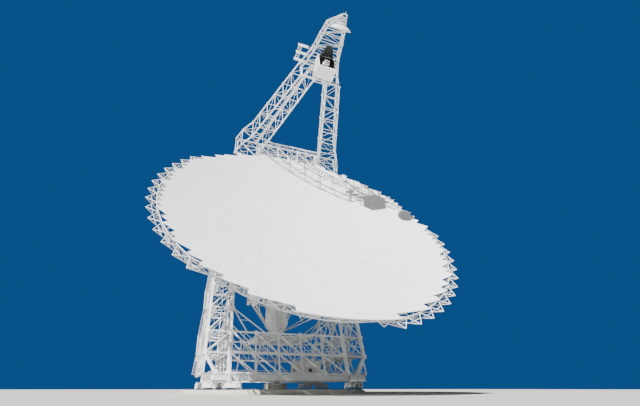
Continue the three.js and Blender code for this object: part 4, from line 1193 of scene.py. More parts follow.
# Receiver room: backs and rises as for the arm; the hatch is an opening in its roof
room = {"half": 0.388, "front": -0.228, "back": 0.694, "floor": 4.275, "low": 4.5, "high": 5.048,
        "wall": 0.012, "hatchHalf": 0.33, "hatchFront": -0.13, "hatchBack": 0.6, "hatchDepth": 0.18,
        "seam": 0.01, "joist": 0.024, "joistIn": (0.04, 0.03), "doorFrom": (0.25, 0.08),
        "doorTo": (0.37, 0.32)}


def makeRoom():
    # clad box with standing seams, a deep opening towards the mirror, and doors
    middle, level, wall = dish["vertexBack"], dish["vertexRise"], room["wall"]
    front, back = middle + room["front"], middle + room["back"]
    low, high, half = level + room["low"], level + room["high"] - wall, room["half"]
    y0, y1 = middle + room["hatchFront"], middle + room["hatchBack"]
    side, inside, near = half - wall, room["hatchHalf"], front + wall
    top = level + room["high"] - room["hatchDepth"]
    parts = [block((-side, near, low), (side, back, top), 0.006)]
    for start, end in (((-side, near), (-inside, back)), ((inside, near), (side, back)),
                       ((-inside, near), (inside, y0)), ((-inside, y1), (inside, back))):
        parts.append(block((*start, top), (*end, high)))
    seams = []
    for x in spread(-side, side, 9):
        seams += [((x, near, low), (x, near, high)), ((x, near, high), (x, y0 - 0.02, high))]
    for y in spread(near, back - 0.01, 10):
        seams += [((x, y, low), (x, y, high)) for x in (-side, side)]
    under, reach = level + room["floor"] + 0.02, half - room["joistIn"][0]
    ends = [front + room["joistIn"][1], back - room["joistIn"][1]]
    joists = [((x, ends[0], z), (x, ends[1], z)) for x in (-reach, 0, reach) for z in (under, low)]
    joists += [((-reach, y, z), (reach, y, z)) for y in ends for z in (under, low)]
    joists += [((x, y, under), (x, y, low)) for x in (-reach, 0, reach) for y in spread(*ends, 3)]
    coaming = pairsRound([(-inside, y0, high), (inside, y0, high), (inside, y1, high), (-inside, y1, high)])
    parts += [beams("joists", joists, room["joist"]), beams("seams", seams, room["seam"]),
              beams("coaming", coaming, wall)]
    for end in (-1, 1):
        parts.append(block((end * side - 0.006, front + room["doorFrom"][0], low + room["doorFrom"][1]),
                           (end * side + 0.008, front + room["doorTo"][0], low + room["doorTo"][1]), 0.003))
    return tipped(join("receiverRoom", parts))


# Turret of feed horns, set in the opening; horns are (angle, size)
turret = {"back": 0.24, "under": 0.165,
          "plate": [(0, 0), (0.14, 0), (0.145, 0.02), (0.145, 0.09), (0.135, 0.1), (0, 0.1)],
          "horn": [(0.018, 0), (0.02, 0.03), (0.036, 0.12), (0.04, 0.125), (0.034, 0.12), (0.016, 0.04),
                   (0, 0.04)],
          "circle": 0.085, "horns": ((0, 0.75), (72, 0.9), (144, 1.0), (216, 0.7), (288, 0.85)),
          "bolts": (16, 0.125, 0.006)}


def makeTurret():
    y, base = dish["vertexBack"] + turret["back"], dish["vertexRise"] + room["high"] - turret["under"]
    top = base + turret["plate"][-1][1]
    parts = [moved(turned("plate", turret["plate"], 48), shift(0, y, base))]
    horn = turned("horn", turret["horn"], 24)
    places = []
    for degrees, size in turret["horns"]:
        ahead, across = polar(turret["circle"], degrees)
        places.append(shift(across, y + ahead, top) @ Matrix.Scale(size, 4))
    parts += [scatter("horns", horn, places),
              bolts("turretBolts", *turret["bolts"], "Z", (0, y, top + 0.003), 0.008)]
    return tipped(join("feedTurret", parts))


# Black lining of the opening, which paints shade into that recess, and the black screen with two wings that
# stands behind the horns, a sheet of painted shade
shadeLining = {"thick": 0.006, "slack": 0.002, "screenBack": 0.668, "screenThick": 0.016,
          "screen": ((0.33, 4.95), (0.12, 5.52)), "wing": (0.3, 0.388, 4.95)}


def makeShadeLining():
    thick, slack = shadeLining["thick"], shadeLining["slack"]
    x = room["hatchHalf"] - slack / 2
    high = dish["vertexRise"] + room["high"] - slack
    low = high + 2 * slack - room["hatchDepth"]
    near = dish["vertexBack"] + room["hatchFront"] + slack / 2
    far = dish["vertexBack"] + room["hatchBack"] - slack / 2
    parts = [block((-x, near, low), (x, far, low + thick), 0)]
    for x0, x1 in ((-x, thick - x), (x - thick, x)):
        parts.append(block((x0, near, low), (x1, far, high), 0))
    x -= slack / 2
    parts += [block((-x, y, low), (x, y + thick, high), 0) for y in (near, far - thick)]
    edges = [[armPoint(side * x, shadeLining["screenBack"], rise) for x, rise in shadeLining["screen"]]
             for side in (-1, 1)]
    parts.append(slab("screen", edges[0][::-1] + edges[1], (0, shadeLining["screenThick"], 0), 0.003))
    for side, edge in zip((-1, 1), edges):
        x, back, rise = shadeLining["wing"]
        parts.append(slab("wing", edge + [armPoint(side * x, back, rise)], (side * -0.01, 0, 0)))
    return tipped(join("feedPaintedShade", parts))


def makeMirror():
    radius, hollow = mirror["radius"], mirror["hollow"]
    face = [(r, -hollow * (r / radius) ** 2) for r in spread(0, radius, 8)]
    ribs = [[Vector((*polar(r, 30 * i), height)) for r, height in mirror["rib"]] for i in range(12)]
    shell = turned("mirrorShell", face + [(radius, -0.014)] + mirror["dome"], 64)
    parts = [shell, beams("mirrorRibs", ribs, 0.014)]
    return tipped(moved(join("upperMirror", parts), mirrorPlace))


def makeMirrorMount():
    # plate on the back of the mirror, six jacks and the plate that they push against
    low, radius = mirror["depth"] + 0.0003, mirror["mount"]
    plate = [(0, low), (radius, low), (radius, low + 0.03), (radius - 0.02, low + 0.04), (0, low + 0.04)]
    outer, inner = mirror["jacks"]
    jacks = [(Vector((*polar(outer, 60 * i + 30), low + 0.03)),
              Vector((*polar(inner, 60 * i + (55 if i % 2 else 5)), low + 0.17))) for i in range(6)]
    cap = [(0, low + 0.15), (0.1, low + 0.15), (0.1, low + 0.18), (0, low + 0.18)]
    parts = [turned("mountPlate", plate, 32), tubes("jacks", jacks, 0.018), turned("mountTop", cap, 24)]
    return tipped(moved(join("mirrorMount", parts), mirrorPlace))


dress(makeArmHead(), "paint", "tipping_structure", ["arm_head"])
dress(makeLift(), "paint", "tipping_structure")
dress(makeRoom(), "cladding", "tipping_structure", ["receiver_room"])
dress(makeTurret(), "mirror", "tipping_structure")
# the lining and the screen are painted shade
dress(makeShadeLining(), "painted_shade_black", "tipping_structure")
dress(makeMirror(), "mirror", "tipping_structure", ["subreflector"])
dress(makeMirrorMount(), "paint", "tipping_structure")
print("feed arm built")

# Towers of the alidade
tower = {"footY": 2.125, "footZ": 0.606, "slope": 0.4376, "levels": (0.606, 1.2, 1.9, 2.75, 3.6, 4.48),
         "inner": 2.06, "outer": 2.82, "outerFoot": 2.44, "sideOuter": 2.788,
         "sideCounts": (4, 3, 3, 2, 1, 1),
         "column": 0.078, "brace": 0.046, "side": 0.044, "fine": 0.02, "truss": 0.05, "trussBays": 5,
         "plates": {"leg": (0.15, 0.086), "truss": (0.12, 0.066), "side": (0.16, 0.056)},
         "collar": (0.035, 0.094),
         "cell": 0.8, "trussCell": 1.1, "trussClear": 0.0643, "across": 0.038, "rail": 0.008}
towerLean = math.degrees(math.atan(tower["slope"]))


def faceY(z):
    return tower["footY"] - (z - tower["footZ"]) * tower["slope"]


def makeLeg(name, side, end):
    outers = [tower["outerFoot"]] + [tower["outer"]] * (len(tower["levels"]) - 1)
    inner = [Vector((side * tower["inner"], end * faceY(z), z)) for z in tower["levels"]]
    outer = [Vector((side * x, end * faceY(z), z)) for x, z in zip(outers, tower["levels"])]
    cells = zigzag(inner, outer)
    columns = pairs(inner) + pairs(outer)
    webs = [bar for bar in sidesOf(cells) if abs(bar[0].x - bar[1].x) > 0.5] + [(inner[0], outer[0])]
    collarHalf, collarWidth = tower["collar"]
    collars = []
    for a, b in columns:
        along = (b - a).normalized() * collarHalf
        collars.append((a.lerp(b, 0.5) - along, a.lerp(b, 0.5) + along))
    parts = [beams("columns", columns, tower["column"]), tubes("webs", webs, tower["brace"]),
             beams("collars", collars, collarWidth),
             tubes("fine", finerBars(cells, tower["cell"]), tower["fine"]),
             gussets("plates", inner + outer, *tower["plates"]["leg"], spin(end * towerLean, "X"))]
    return join(name, parts)


def makeTruss(name, end):
    half = tower["inner"] - tower["trussClear"]
    rows = [[Vector((x, end * faceY(z), z)) for x in spread(-half, half, tower["trussBays"])]
            for z in tower["levels"][:3]]
    cells = [cell for a, b in pairs(rows) for cell in zigzag(a, b)]
    joined = [point for row in rows for point in row[1:-1]]
    parts = [beams("main", sidesOf(cells), tower["truss"]),
             tubes("fine", finerBars(cells, tower["trussCell"]), tower["fine"]),
             gussets("plates", joined, *tower["plates"]["truss"], spin(end * towerLean, "X"))]
    return join(name, parts)


def sideHalf(z):
    return faceY(z) - 0.0703 / math.cos(math.radians(towerLean)) - 0.0003


def sideRows(x):
    return [[Vector((x, y, z)) for y in spread(-sideHalf(z), sideHalf(z), count)]
            for z, count in zip(tower["levels"], tower["sideCounts"])]


def makeTowerSide(name, side):
    main, across, fine, plates = [], [], [], []
    planes = [sideRows(side * plane) for plane in (tower["inner"], tower["sideOuter"])]
    for rows in planes:
        main += sidesOf([cell for a, b in pairs(rows) for cell in zigzag(a, b)])
        plates += [point for row in rows for point in row[1:-1]]
    for inner, outer in list(zip(*planes))[1:]:
        across += list(zip(inner, outer))
        fine += list(zip(inner, outer[1:]))
    parts = [beams("main", main, tower["side"]), tubes("across", across, tower["across"]),
             tubes("fine", fine, tower["fine"]),
             gussets("plates", plates, *tower["plates"]["side"], spin(90, "Z"))]
    return join(name, parts)


def deckGrid(low, high, pitch=0.06):
    # bars of an open grating, and the frame round them
    (x0, y0, z), (x1, y1) = low, high
    bars = [((x, y0, z), (x, y1, z)) for x in spread(x0, x1, max(2, round((x1 - x0) / pitch)))]
    bars += [((x0, y, z), (x1, y, z)) for y in spread(y0, y1, max(2, round((y1 - y0) / pitch)))]
    return bars, pairsRound([(x0, y0, z), (x1, y0, z), (x1, y1, z), (x0, y1, z)])


def makeDecking(name, grids, rails, barWidth, edgeWidth, props=()):
    # several gratings as one object, with the railings round them and the props under them
    bars, edges = [], list(props)
    for grid in grids:
        moreBars, frameBars = deckGrid(*grid)
        bars += moreBars
        edges += frameBars
    return join(name, [beams("bars", bars, barWidth), beams("edges", edges, edgeWidth),
                       tubes("rails", rails, tower["rail"])])


# Floors inside the outer face of each tower, and a landing round the bearing at its top
floors = {"levels": (1.2, 1.9, 2.75, 3.6), "out": (0.2, 0.045), "short": 0.06, "above": 0.032,
          "railAbove": 0.04, "pitch": 0.1, "posts": 0.3, "landingHalf": 0.62, "landingInner": 0.5,
          "landing": (2.045, 2.92, 3.04), "landingLevel": 4.54, "landingPitch": 0.05,
          "propFoot": (2.83, 0.7, 4.3)}


def makeTowerFloors(name, side):
    grids, rails = [], []
    near, far = sorted(side * (tower["sideOuter"] - out) for out in floors["out"])
    for z in floors["levels"]:
        half = sideHalf(z) - floors["short"]
        grids.append(((near, -half, z + floors["above"]), (far, half), floors["pitch"]))
        loop = [(x, y, z + floors["railAbove"])
                for x, y in ((near, -half), (far, -half), (far, half), (near, half))]
        rails += railing(loop + loop[:1], spacing=floors["posts"])
    half, inner, z = floors["landingHalf"], floors["landingInner"], floors["landingLevel"]
    start, outside, end = [side * x for x in floors["landing"]]
    near, far = sorted((start, end))
    grids += [((near, y0, z), (far, y1), floors["landingPitch"])
              for y0, y1 in ((-half, -inner), (inner, half))]
    near, far = sorted((outside, end))
    grids.append(((near, -half, z), (far, half), floors["landingPitch"]))
    rails += railing([(start, -half, z), (end, -half, z), (end, half, z), (start, half, z)])
    footX, footShare, footZ = floors["propFoot"]
    props = [((end, y, z), (side * footX, y * footShare, footZ)) for y in (-half, 0, half)]
    return makeDecking(name, grids, rails, 0.008, 0.026, props)


# Stairs that fold up the outside of a tower, each flight with a landing at its top
stairs = {"near": 2.88, "far": 3.0, "foot": 0.58, "top": 4.5, "pitch": 1.15, "short": 0.3, "above": 0.03,
          "tread": 0.045, "postEvery": 5, "rails": (0.05, 0.1), "tower": 2.81, "propDrop": 0.16,
          "landing": (0.13, 0.18, 0.012)}


def makeStairs(name, side):
    stringers, treads, rails, decks, props = [], [], [], [], []
    x0, x1, face = side * stairs["near"], side * stairs["far"], side * stairs["tower"]
    levels = (stairs["foot"],) + floors["levels"] + (stairs["top"],)
    for i, (low, high) in enumerate(pairs(levels)):
        way = 1 if i % 2 else -1
        run = min((high - low) * stairs["pitch"], 2 * sideHalf(high) - stairs["short"])
        a = Vector((0, -way * run / 2, low + stairs["above"]))
        b = Vector((0, way * run / 2, high + stairs["above"]))
        count = round((high - low) / stairs["tread"])
        for x in (x0, x1):
            foot, top = a + Vector((x, 0, 0)), b + Vector((x, 0, 0))
            stringers.append((foot, top))
            rails += [(foot + Vector((0, 0, h)), top + Vector((0, 0, h))) for h in stairs["rails"]]
            posts = [foot.lerp(top, j / count) for j in range(0, count + 1, stairs["postEvery"])]
            rails += [(at, at + Vector((0, 0, stairs["rails"][-1]))) for at in posts]
        for j in range(1, count):
            at = a.lerp(b, j / count)
            treads.append((at + Vector((x0, 0, 0)), at + Vector((x1, 0, 0))))
        corner = Vector((min(x0, x1) - 0.005, b.y - stairs["landing"][1] / 2, b.z - 0.014))
        decks.append(block(corner, corner + Vector(stairs["landing"]), 0.002))
        props += [((x0, b.y, b.z - 0.02), (face, b.y, b.z - 0.02)),
                  ((x1, b.y, b.z - 0.02), (face, b.y, b.z - stairs["propDrop"])),
                  ((x1, a.y, a.z), (face, a.y, a.z)), ((x0, a.y, a.z), (face, a.y, a.z))]
    parts = [beams("stringers", stringers, 0.022), beams("treads", treads, 0.014),
             tubes("rails", rails, tower["rail"]), tubes("props", props, 0.02)] + decks
    return join(name, parts)


# Walkways along the front and the back, at the lower level of the trusses
crossWalk = {"level": 1.2, "short": 0.1, "out": 0.05, "width": 0.11, "pitch": 0.1, "posts": 0.3, "props": 10}


def makeCrossWalks():
    grids, rails, props = [], [], []
    half, z = tower["inner"] - crossWalk["short"], crossWalk["level"]
    for end in (-1, 1):
        inside = end * (faceY(z) + crossWalk["out"])
        outside = inside + end * crossWalk["width"]
        y0, y1 = sorted((inside, outside))
        grids.append(((-half, y0, z + 0.028), (half, y1), crossWalk["pitch"]))
        rails += railing([(-half, outside, z + 0.03), (half, outside, z + 0.03)], spacing=crossWalk["posts"])
        props += [((x, inside, z + 0.02), (x, outside, z + 0.02))
                  for x in spread(-half, half, crossWalk["props"])]
    return makeDecking("crossWalks", grids, rails, 0.007, 0.02, props)


def makeKneeBraces():
    # props from the inner columns down to the top chords of the trusses
    props, ties = [], []
    high, low = tower["levels"][3], tower["levels"][2]
    for side in (-1, 1):
        for end in (-1, 1):
            top = Vector((side * (tower["inner"] - 0.03), end * faceY(high), high))
            feet = [Vector((side * x, end * faceY(low), low)) for x in (0.86, 1.5)]
            props += [(top, foot) for foot in feet]
            ties.append((top.lerp(feet[0], 0.5), top.lerp(feet[1], 0.5)))
    return join("kneeBraces", [tubes("props", props, 0.046), tubes("ties", ties, tower["fine"])])


# Bearing of the axle: its body is (half width, height), its cap and bands are (radius, along) outlines
bearing = {"base": 4.5266, "middle": 2.48, "half": 0.4, "bore": 0.1209, "web": 0.12, "webWidth": 0.8,
           "body": [(0.46, 4.5766), (0.34, 4.72), (0.228, axleHeight)],
           "cap": [(0.15, -0.4), (0.2, -0.4), (0.226, -0.39), (0.226, 0.39), (0.2, 0.4), (0.15, 0.4),
                   (0.15, -0.4)],
           "bands": (-0.35, -0.13, 0.13, 0.35), "band": [(0.21, -0.025), (0.2295, -0.02), (0.2295, 0.02),
                                                         (0.21, 0.025), (0.21, -0.025)],
           "foot": (0.48, 0.052), "split": (0.255, 0.035),
           "ribHalf": (0.006, 0.05), "capBolts": (16, 0.185, 0.01)}


def makeBearing(name, side):
    base, half, web, middle = bearing["base"], bearing["half"], bearing["web"], side * bearing["middle"]
    place = shift(middle, 0, axleHeight)
    right = bearing["body"]
    body = [(-right[0][0], right[0][1])] + right + [(-y, z) for y, z in right[:0:-1]]
    bore = drum(bearing["bore"], 1.2, "X", (middle, 0, axleHeight), 64, 0)
    parts = [slab("body", [Vector((middle + x, y, z)) for y, z in body], (half - 0.03 - web, 0, 0), 0.008)
             for x in (0.03 - half, web)]
    webOutline = [Vector((middle - web, y * bearing["webWidth"], min(z, axleHeight - 0.02))) for y, z in body]
    parts += [slab("web", webOutline, (2 * web, 0, 0)), moved(turned("cap", bearing["cap"], 64, "X"), place)]
    for x in bearing["bands"]:
        band = [(radius, x + along) for radius, along in bearing["band"]]
        parts.append(moved(turned("band", band, 64, "X"), place))
    for piece in parts:
        modify(piece, "BOOLEAN", object=bore)
    bpy.data.objects.remove(bore)
    footHalf, footThick = bearing["foot"]
    splitY, splitHalf = bearing["split"]
    ribX, ribY = bearing["ribHalf"]
    parts.append(block((middle - half, -footHalf, base), (middle + half, footHalf, base + footThick), 0.006))
    for end in (-1, 1):
        parts.append(block((middle - half + 0.02, end * splitY - splitHalf, axleHeight - 0.03),
                           (middle + half - 0.02, end * splitY + splitHalf, axleHeight + 0.005), 0.006))
        for x in spread(middle - half + 0.06, middle + half - 0.06, 6):
            parts += [drum(0.014, 0.03, "Z", (x, end * 0.258, axleHeight + 0.016), 6, 0),
                      drum(0.016, 0.03, "Z", (x, end * 0.45, base + 0.064), 6, 0),
                      block((x - ribX, end * 0.4 - ribY, base + 0.04),
                            (x + ribX, end * 0.4 + ribY, base + 0.1), 0.002)]
        centre = (middle + end * (half + 0.002), 0, axleHeight)
        parts.append(bolts("capBolts", *bearing["capBolts"], "X", centre, 0.014))
    return join(name, parts)


for word, side in sides.items():
    for end, place in ((-1, "front"), (1, "back")):
        dress(makeLeg(f"{word}{place.title()}Leg", side, end), "paint", "alidade", [f"{word}_{place}_leg"])
    dress(makeTowerSide(word + "TowerBracing", side), "paint", "alidade", [f"{word}_tower_bracing"])
    dress(makeTowerFloors(word + "TowerFloors", side), "paint", "alidade")
    dress(makeStairs(word + "Stairs", side), "paint", "alidade")
    dress(makeBearing(word + "Bearing", side), "paint", "alidade", [word + "_bearing"])
for end, place in ((-1, "front"), (1, "back")):
    dress(makeTruss(place + "Truss", end), "paint", "alidade", [place + "_truss"])
dress(makeCrossWalks(), "paint", "alidade")
dress(makeKneeBraces(), "paint", "alidade")
print("towers built")

# Platform with the elevation drives
deck = {"top": 1.87, "bottom": 1.79, "beams": (-0.9, -0.35, 0.35, 0.9), "half": 0.935, "beamHalf": 0.035,
        "gridFrom": 0.55, "pitch": 0.14}


def iBeam(a, b, width, height, thick=0.012):
    # rolled beam between two points, standing upright
    a, b = Vector(a), Vector(b)
    across = (b - a).normalized().cross(Vector((0, 0, 1))).normalized()
    half, web, top, lip = width / 2, thick / 2, height / 2, height / 2 - thick
    section = [(-half, -top), (half, -top), (half, -lip), (web, -lip), (web, lip), (half, lip),
               (half, top), (-half, top), (-half, lip), (-web, lip), (-web, -lip), (-half, -lip)]
    return slab("beam", [a + across * x + Vector((0, 0, z)) for x, z in section], b - a)


def makeDriveDeck():
    reach, half, top = sideHalf(deck["top"]) + 0.03, deck["half"], deck["top"]
    middle, height = (top + deck["bottom"]) / 2, top - deck["bottom"]
    parts = [iBeam((x, -reach, middle), (x, reach, middle), 2 * deck["beamHalf"], height)
             for x in deck["beams"]]
    parts += [iBeam((-half, y, middle), (half, y, middle), 0.03, 0.04, 0.006)
              for y in spread(0.06 - reach, reach - 0.06, 5)]
    grids, rails = [], []
    for side in (-1, 1):
        x0, x1 = sorted((side * half, side * deck["gridFrom"]))
        grids.append(((x0, 0.03 - reach, top - 0.004), (x1, reach - 0.03), deck["pitch"]))
        rails += railing([(side * half, 0.05 - reach, top), (side * half, reach - 0.05, top)])
    parts.append(makeDecking("decking", grids, rails, 0.007, 0.02))
    return join("driveDeck", parts)


# Gearboxes on both sides of the toothed rim, each with its motor; x is measured away from the rim
drive = {"from": 0.1, "y": 0.27, "width": 0.14, "half": 0.13, "top": 2.003, "motor": 0.2, "motorUp": 0.062,
         "finFrom": 0.155, "finStep": 0.018, "fins": 6, "shaft": 0.28, "boltY": 0.11}


def makeDrives():
    low, top, parts = deck["top"] - 0.004, drive["top"], []
    for side in (-1, 1):
        motorX = side * (drive["from"] + drive["motor"])
        x0, x1 = sorted((side * drive["from"], side * (drive["from"] + drive["width"])))
        for y in (-drive["y"], drive["y"]):
            half, axis = drive["half"], low + drive["motorUp"]
            parts += [block((x0, y - half, low), (x1, y + half, top - 0.012), 0.01),
                      block((x0 + 0.01, y - half + 0.03, low), (x1 - 0.01, y + half - 0.03, top), 0.006),
                      block((motorX - 0.05, y - 0.055, low), (motorX + 0.05, y + 0.055, low + 0.02), 0.003),
                      drum(0.05, 0.13, "X", (motorX, y, axis), 32),
                      drum(0.022, 0.03, "X", (side * (drive["from"] + drive["shaft"]), y, axis), 20)]
            fins = [side * (drive["from"] + drive["finFrom"] + drive["finStep"] * i)
                    for i in range(drive["fins"])]
            parts += [drum(0.056, 0.006, "X", (x, y, axis), 24, 0) for x in fins]
            parts += [drum(0.008, 0.012, "Z", (x, y + dy, top - 0.008), 6, 0)
                      for x in (x0 + 0.02, x1 - 0.02) for dy in (-drive["boltY"], drive["boltY"])]
    return join("elevationDrives", parts)


dress(makeDriveDeck(), "paint", "alidade", ["drive_platform"])
dress(makeDrives(), "cladding", "alidade")
print("drive platform built")

# Base frame: built-up girders, corner boxes, diagonals and the hub on the pintle
base = {"low": 0.385, "high": 0.56, "width": 0.15, "offset": 2.26, "corner": 0.56, "gap": 0.0003,
        "hub": 0.26, "bore": 0.091, "flange": 0.018, "pitch": 0.24, "walk": 0.16, "walkShort": 0.28,
        "hubBolts": (20, 0.22, 0.011), "start": 0.13}
girderReach = base["offset"] - base["corner"] / 2 - base["gap"]


def boxGirder(a, b):
    # box section with wider flanges and upright stiffeners, from a to b at the girder's level
    a, b = Vector((*a, 0)), Vector((*b, 0))
    length = (b - a).length
    half, low, high, lip = base["width"] / 2, base["low"], base["high"], base["flange"]
    count = max(2, round(length / base["pitch"]))
    rib = block((-0.004, 0.001 - half, low + lip - 0.002), (0.004, half - 0.001, high - lip + 0.002), 0)
    parts = [block((0, -half, low), (length, half, low + lip), 0.002),
             block((0, -half, high - lip), (length, half, high), 0.002),
             block((0, 0.014 - half, low + lip - 0.001), (length, half - 0.014, high - lip + 0.001), 0),
             scatter("ribs", rib, [shift(length * (i + 0.5) / count, 0, 0) for i in range(count)])]
    turn = Matrix.Rotation(math.atan2(b.y - a.y, b.x - a.x), 4, "Z")
    return moved(join("girder", parts), Matrix.Translation(a) @ turn)


def cornerBox(x, y):
    # two flanges with a box and stiffeners both ways between them, and a manhole
    half, low, high = base["corner"] / 2, base["low"], base["high"]
    z0, z1 = low + 0.018, high - 0.018

    def around(reachX, reachY, start, end, bevel=0, dx=0, dy=0):
        return block((x + dx - reachX, y + dy - reachY, start),
                     (x + dx + reachX, y + dy + reachY, end), bevel)

    parts = [around(half, half, low, low + 0.02, 0.003), around(half, half, high - 0.02, high, 0.003),
             around(half - 0.016, half - 0.016, low + 0.019, high - 0.019)]
    for d in spread(-half + 0.06, half - 0.06, 4):
        parts += [around(0.005, half - 0.002, z0, z1, dx=d), around(half - 0.002, 0.005, z0, z1, dy=d)]
    parts.append(drum(0.09, 0.012, "Z", (x + math.copysign(0.16, x), y * 1.07, high + 0.004), 32))
    return join("cornerBox", parts)


def makeSideGirder(name, side):
    x, y, high = side * base["offset"], base["offset"], base["high"]
    outer = side * (base["offset"] + base["corner"] / 2 - 0.012)
    x0, x1 = sorted((outer, outer - side * base["walk"]))
    grid = ((x0, base["walkShort"] - y, high - 0.01), (x1, y - base["walkShort"]), 0.1)
    rails = railing([(outer, -y - 0.26, high), (outer, y + 0.26, high)])
    props = [((outer, at, high - 0.02), (x, at, high - 0.06)) for at in spread(-1.8, 1.8, 8)]
    return join(name, [boxGirder((x, -y), (x, y)), cornerBox(x, -y), cornerBox(x, y),
                       makeDecking("decking", [grid], rails, 0.008, 0.022, props)])


def makeCrossGirder(name, end):
    y = end * base["offset"]
    edge = y + end * (base["width"] / 2 - 0.01)
    rails = railing([(-girderReach, edge, base["high"]), (girderReach, edge, base["high"])])
    return join(name, [boxGirder((-girderReach, y), (girderReach, y)), tubes("rails", rails, tower["rail"])])


def makeMainDiagonal():
    parts = [boxGirder((end * base["start"],) * 2, (end * girderReach,) * 2) for end in (1, -1)]
    low, high, outer, bore = base["low"], base["high"], base["hub"], base["bore"]
    ring = [(bore, low), (outer, low), (outer, low + 0.02), (outer - 0.02, low + 0.03),
            (outer - 0.02, high - 0.03), (outer, high - 0.02), (outer, high), (bore + 0.06, high),
            (bore + 0.06, high + 0.03), (bore, high + 0.03), (bore, low)]
    parts += [turned("hub", ring, 64), bolts("hubBolts", *base["hubBolts"], "Z", (0, 0, high + 0.006), 0.014)]
    return join("baseDiagonalMain", parts)


def makeSideDiagonal(name, side):
    start = (base["hub"] + base["gap"]) / math.sqrt(2)
    obj = boxGirder((side * start, -side * start), (side * girderReach, -side * girderReach))
    obj.name = name
    return obj


for word, side in sides.items():
    dress(makeSideGirder(word + "Girder", side), "paint", "alidade", ["base_girder_" + word])
    dress(makeSideDiagonal(word + "Diagonal", side), "paint", "alidade", ["base_diagonal_" + word])
for end, place in ((-1, "front"), (1, "back")):
    dress(makeCrossGirder(place + "Girder", end), "paint", "alidade", ["base_girder_" + place])
dress(makeMainDiagonal(), "paint", "alidade", ["base_diagonal_main"])
print("base frame built")

# Trucks, modelled once: local X runs along the track and Y away from the centre
truck = {"radius": 3.2, "pitch": 0.4, "wheel": 0.075, "width": 0.036, "height": 0.2153, "slot": 0.027,
         "plate": 0.022, "low": 0.1703, "top": 0.3, "half": 0.12, "pin": 0.0205, "topOfBeam": 0.3847,
         "hubBolts": (8, 0.043, 0.004), "capBolts": (8, 0.032, 0.0035),
         "dish": [(0.03, 0), (0.034, 0.012), (0.052, 0.014), (0.058, 0.002)]}
steps = (-1.5, -0.5, 0.5, 1.5)
corners = {"front_left": (-1, -1), "front_right": (1, -1), "back_left": (-1, 1), "back_right": (1, 1)}


def alongTrack(step):
    turn = step * truck["pitch"] / truck["radius"]
    place = shift(math.sin(turn) * truck["radius"], (math.cos(turn) - 1) * truck["radius"], 0)
    return place @ Matrix.Rotation(-turn, 4, "Z")


def atCorner(corner):
    sideX, sideY = corners[corner]
    reach = truck["radius"] / math.sqrt(2)
    turn = Matrix.Rotation(math.atan2(sideY, sideX) - math.pi / 2, 4, "Z")
    return shift(sideX * reach, sideY * reach, 0) @ turn


def makeWheel():
    # its faces are dished; their points are (radius, depth)
    half, pin, radius = truck["width"] / 2, truck["pin"], truck["wheel"]
    face = [(r, half - depth) for r, depth in truck["dish"] + [(radius - 0.003, 0), (radius, 0.004)]]
    profile = [(pin, -half)] + [(r, -z) for r, z in face] + face[::-1] + [(pin, half), (pin, -half)]
    heads = [bolts("wheelBolts", *truck["hubBolts"], "Y", (0, end * (half - 0.011), 0), 0.006)
             for end in (-1, 1)]
    return join("wheel", [turned("wheel", profile, 56, "Y")] + heads)


def makeWheelBox():
    # two cheeks with the caps of the axle, closed at both ends
    slot, plate, half, low, top = truck["slot"], truck["plate"], truck["half"], truck["low"], truck["top"]
    outline = [(-half, low + 0.05), (-half + 0.05, low), (half - 0.05, low), (half, low + 0.05), (half, top),
               (-half, top)]
    axle = truck["height"]
    parts = [drum(0.0195, 2 * slot + plate, "Y", (0, 0, axle), 24, 0)]
    for side in (-1, 1):
        start, face = min(side * slot, side * (slot + plate)), side * (slot + plate)
        y0, y1 = sorted((face, face + side * 0.006))
        parts += [slab("cheek", [Vector((x, start, z)) for x, z in outline], (0, plate, 0), 0.003),
                  drum(0.04, 0.012, "Y", (0, face + side * 0.005, axle), 24),
                  drum(0.024, 0.02, "Y", (0, face + side * 0.009, axle), 24),
                  bolts("capBolts", *truck["capBolts"], "Y", (0, face + side * 0.012, axle), 0.006),
                  block((-half + 0.01, y0, top - 0.02), (half - 0.01, y1, top), 0.001)]
        x0, x1 = sorted((side * (half - 0.012), side * half))
        parts.append(block((x0, -slot - 0.001, low + 0.05), (x1, slot + 0.001, top), 0))
    return join("wheelBox", parts)


# Motor of a truck; drums are (radius, length, height of the middle)
motor = {"gearbox": ((-0.05, 0, 0.18), (0.05, 0.05, 0.3)), "cap": (0.03, 0.02), "capOut": 0.058, "out": 0.03,
         "drums": ((0.024, 0.075, 0.335), (0.02, 0.012, 0.377)), "fin": (0.0275, 0.004),
         "fins": (0.312, 0.362, 5)}


def makeMotor():
    # gearbox on the outer cheek with an upright motor
    face = truck["slot"] + truck["plate"]
    parts = boxes((0, face, 0), [motor["gearbox"]], 0.006)
    parts.append(drum(*motor["cap"], "Y", (0, face + motor["capOut"], truck["height"] + 0.01), 24))
    parts += [drum(radius, length, "Z", (0, face + motor["out"], z), 24)
              for radius, length, z in motor["drums"]]
    parts += [drum(*motor["fin"], "Z", (0, face + motor["out"], z), 20, 0) for z in spread(*motor["fins"])]
    return join("motor", parts)


# Rocker; heights are those of its foot, of its ends and of its crown
rocker = {"heights": (0.3, 0.318, 0.352), "crown": 0.12, "cheeks": (-0.062, 0.048), "cheek": 0.014,
          "axle": 0.334, "pin": (0.026, 0.15), "boss": (0.034, 0.134), "ribs": (-0.2, -0.1, 0.1, 0.2),
          "rib": ((-0.004, -0.05, 0.312), (0.004, 0.05, 0.33))}


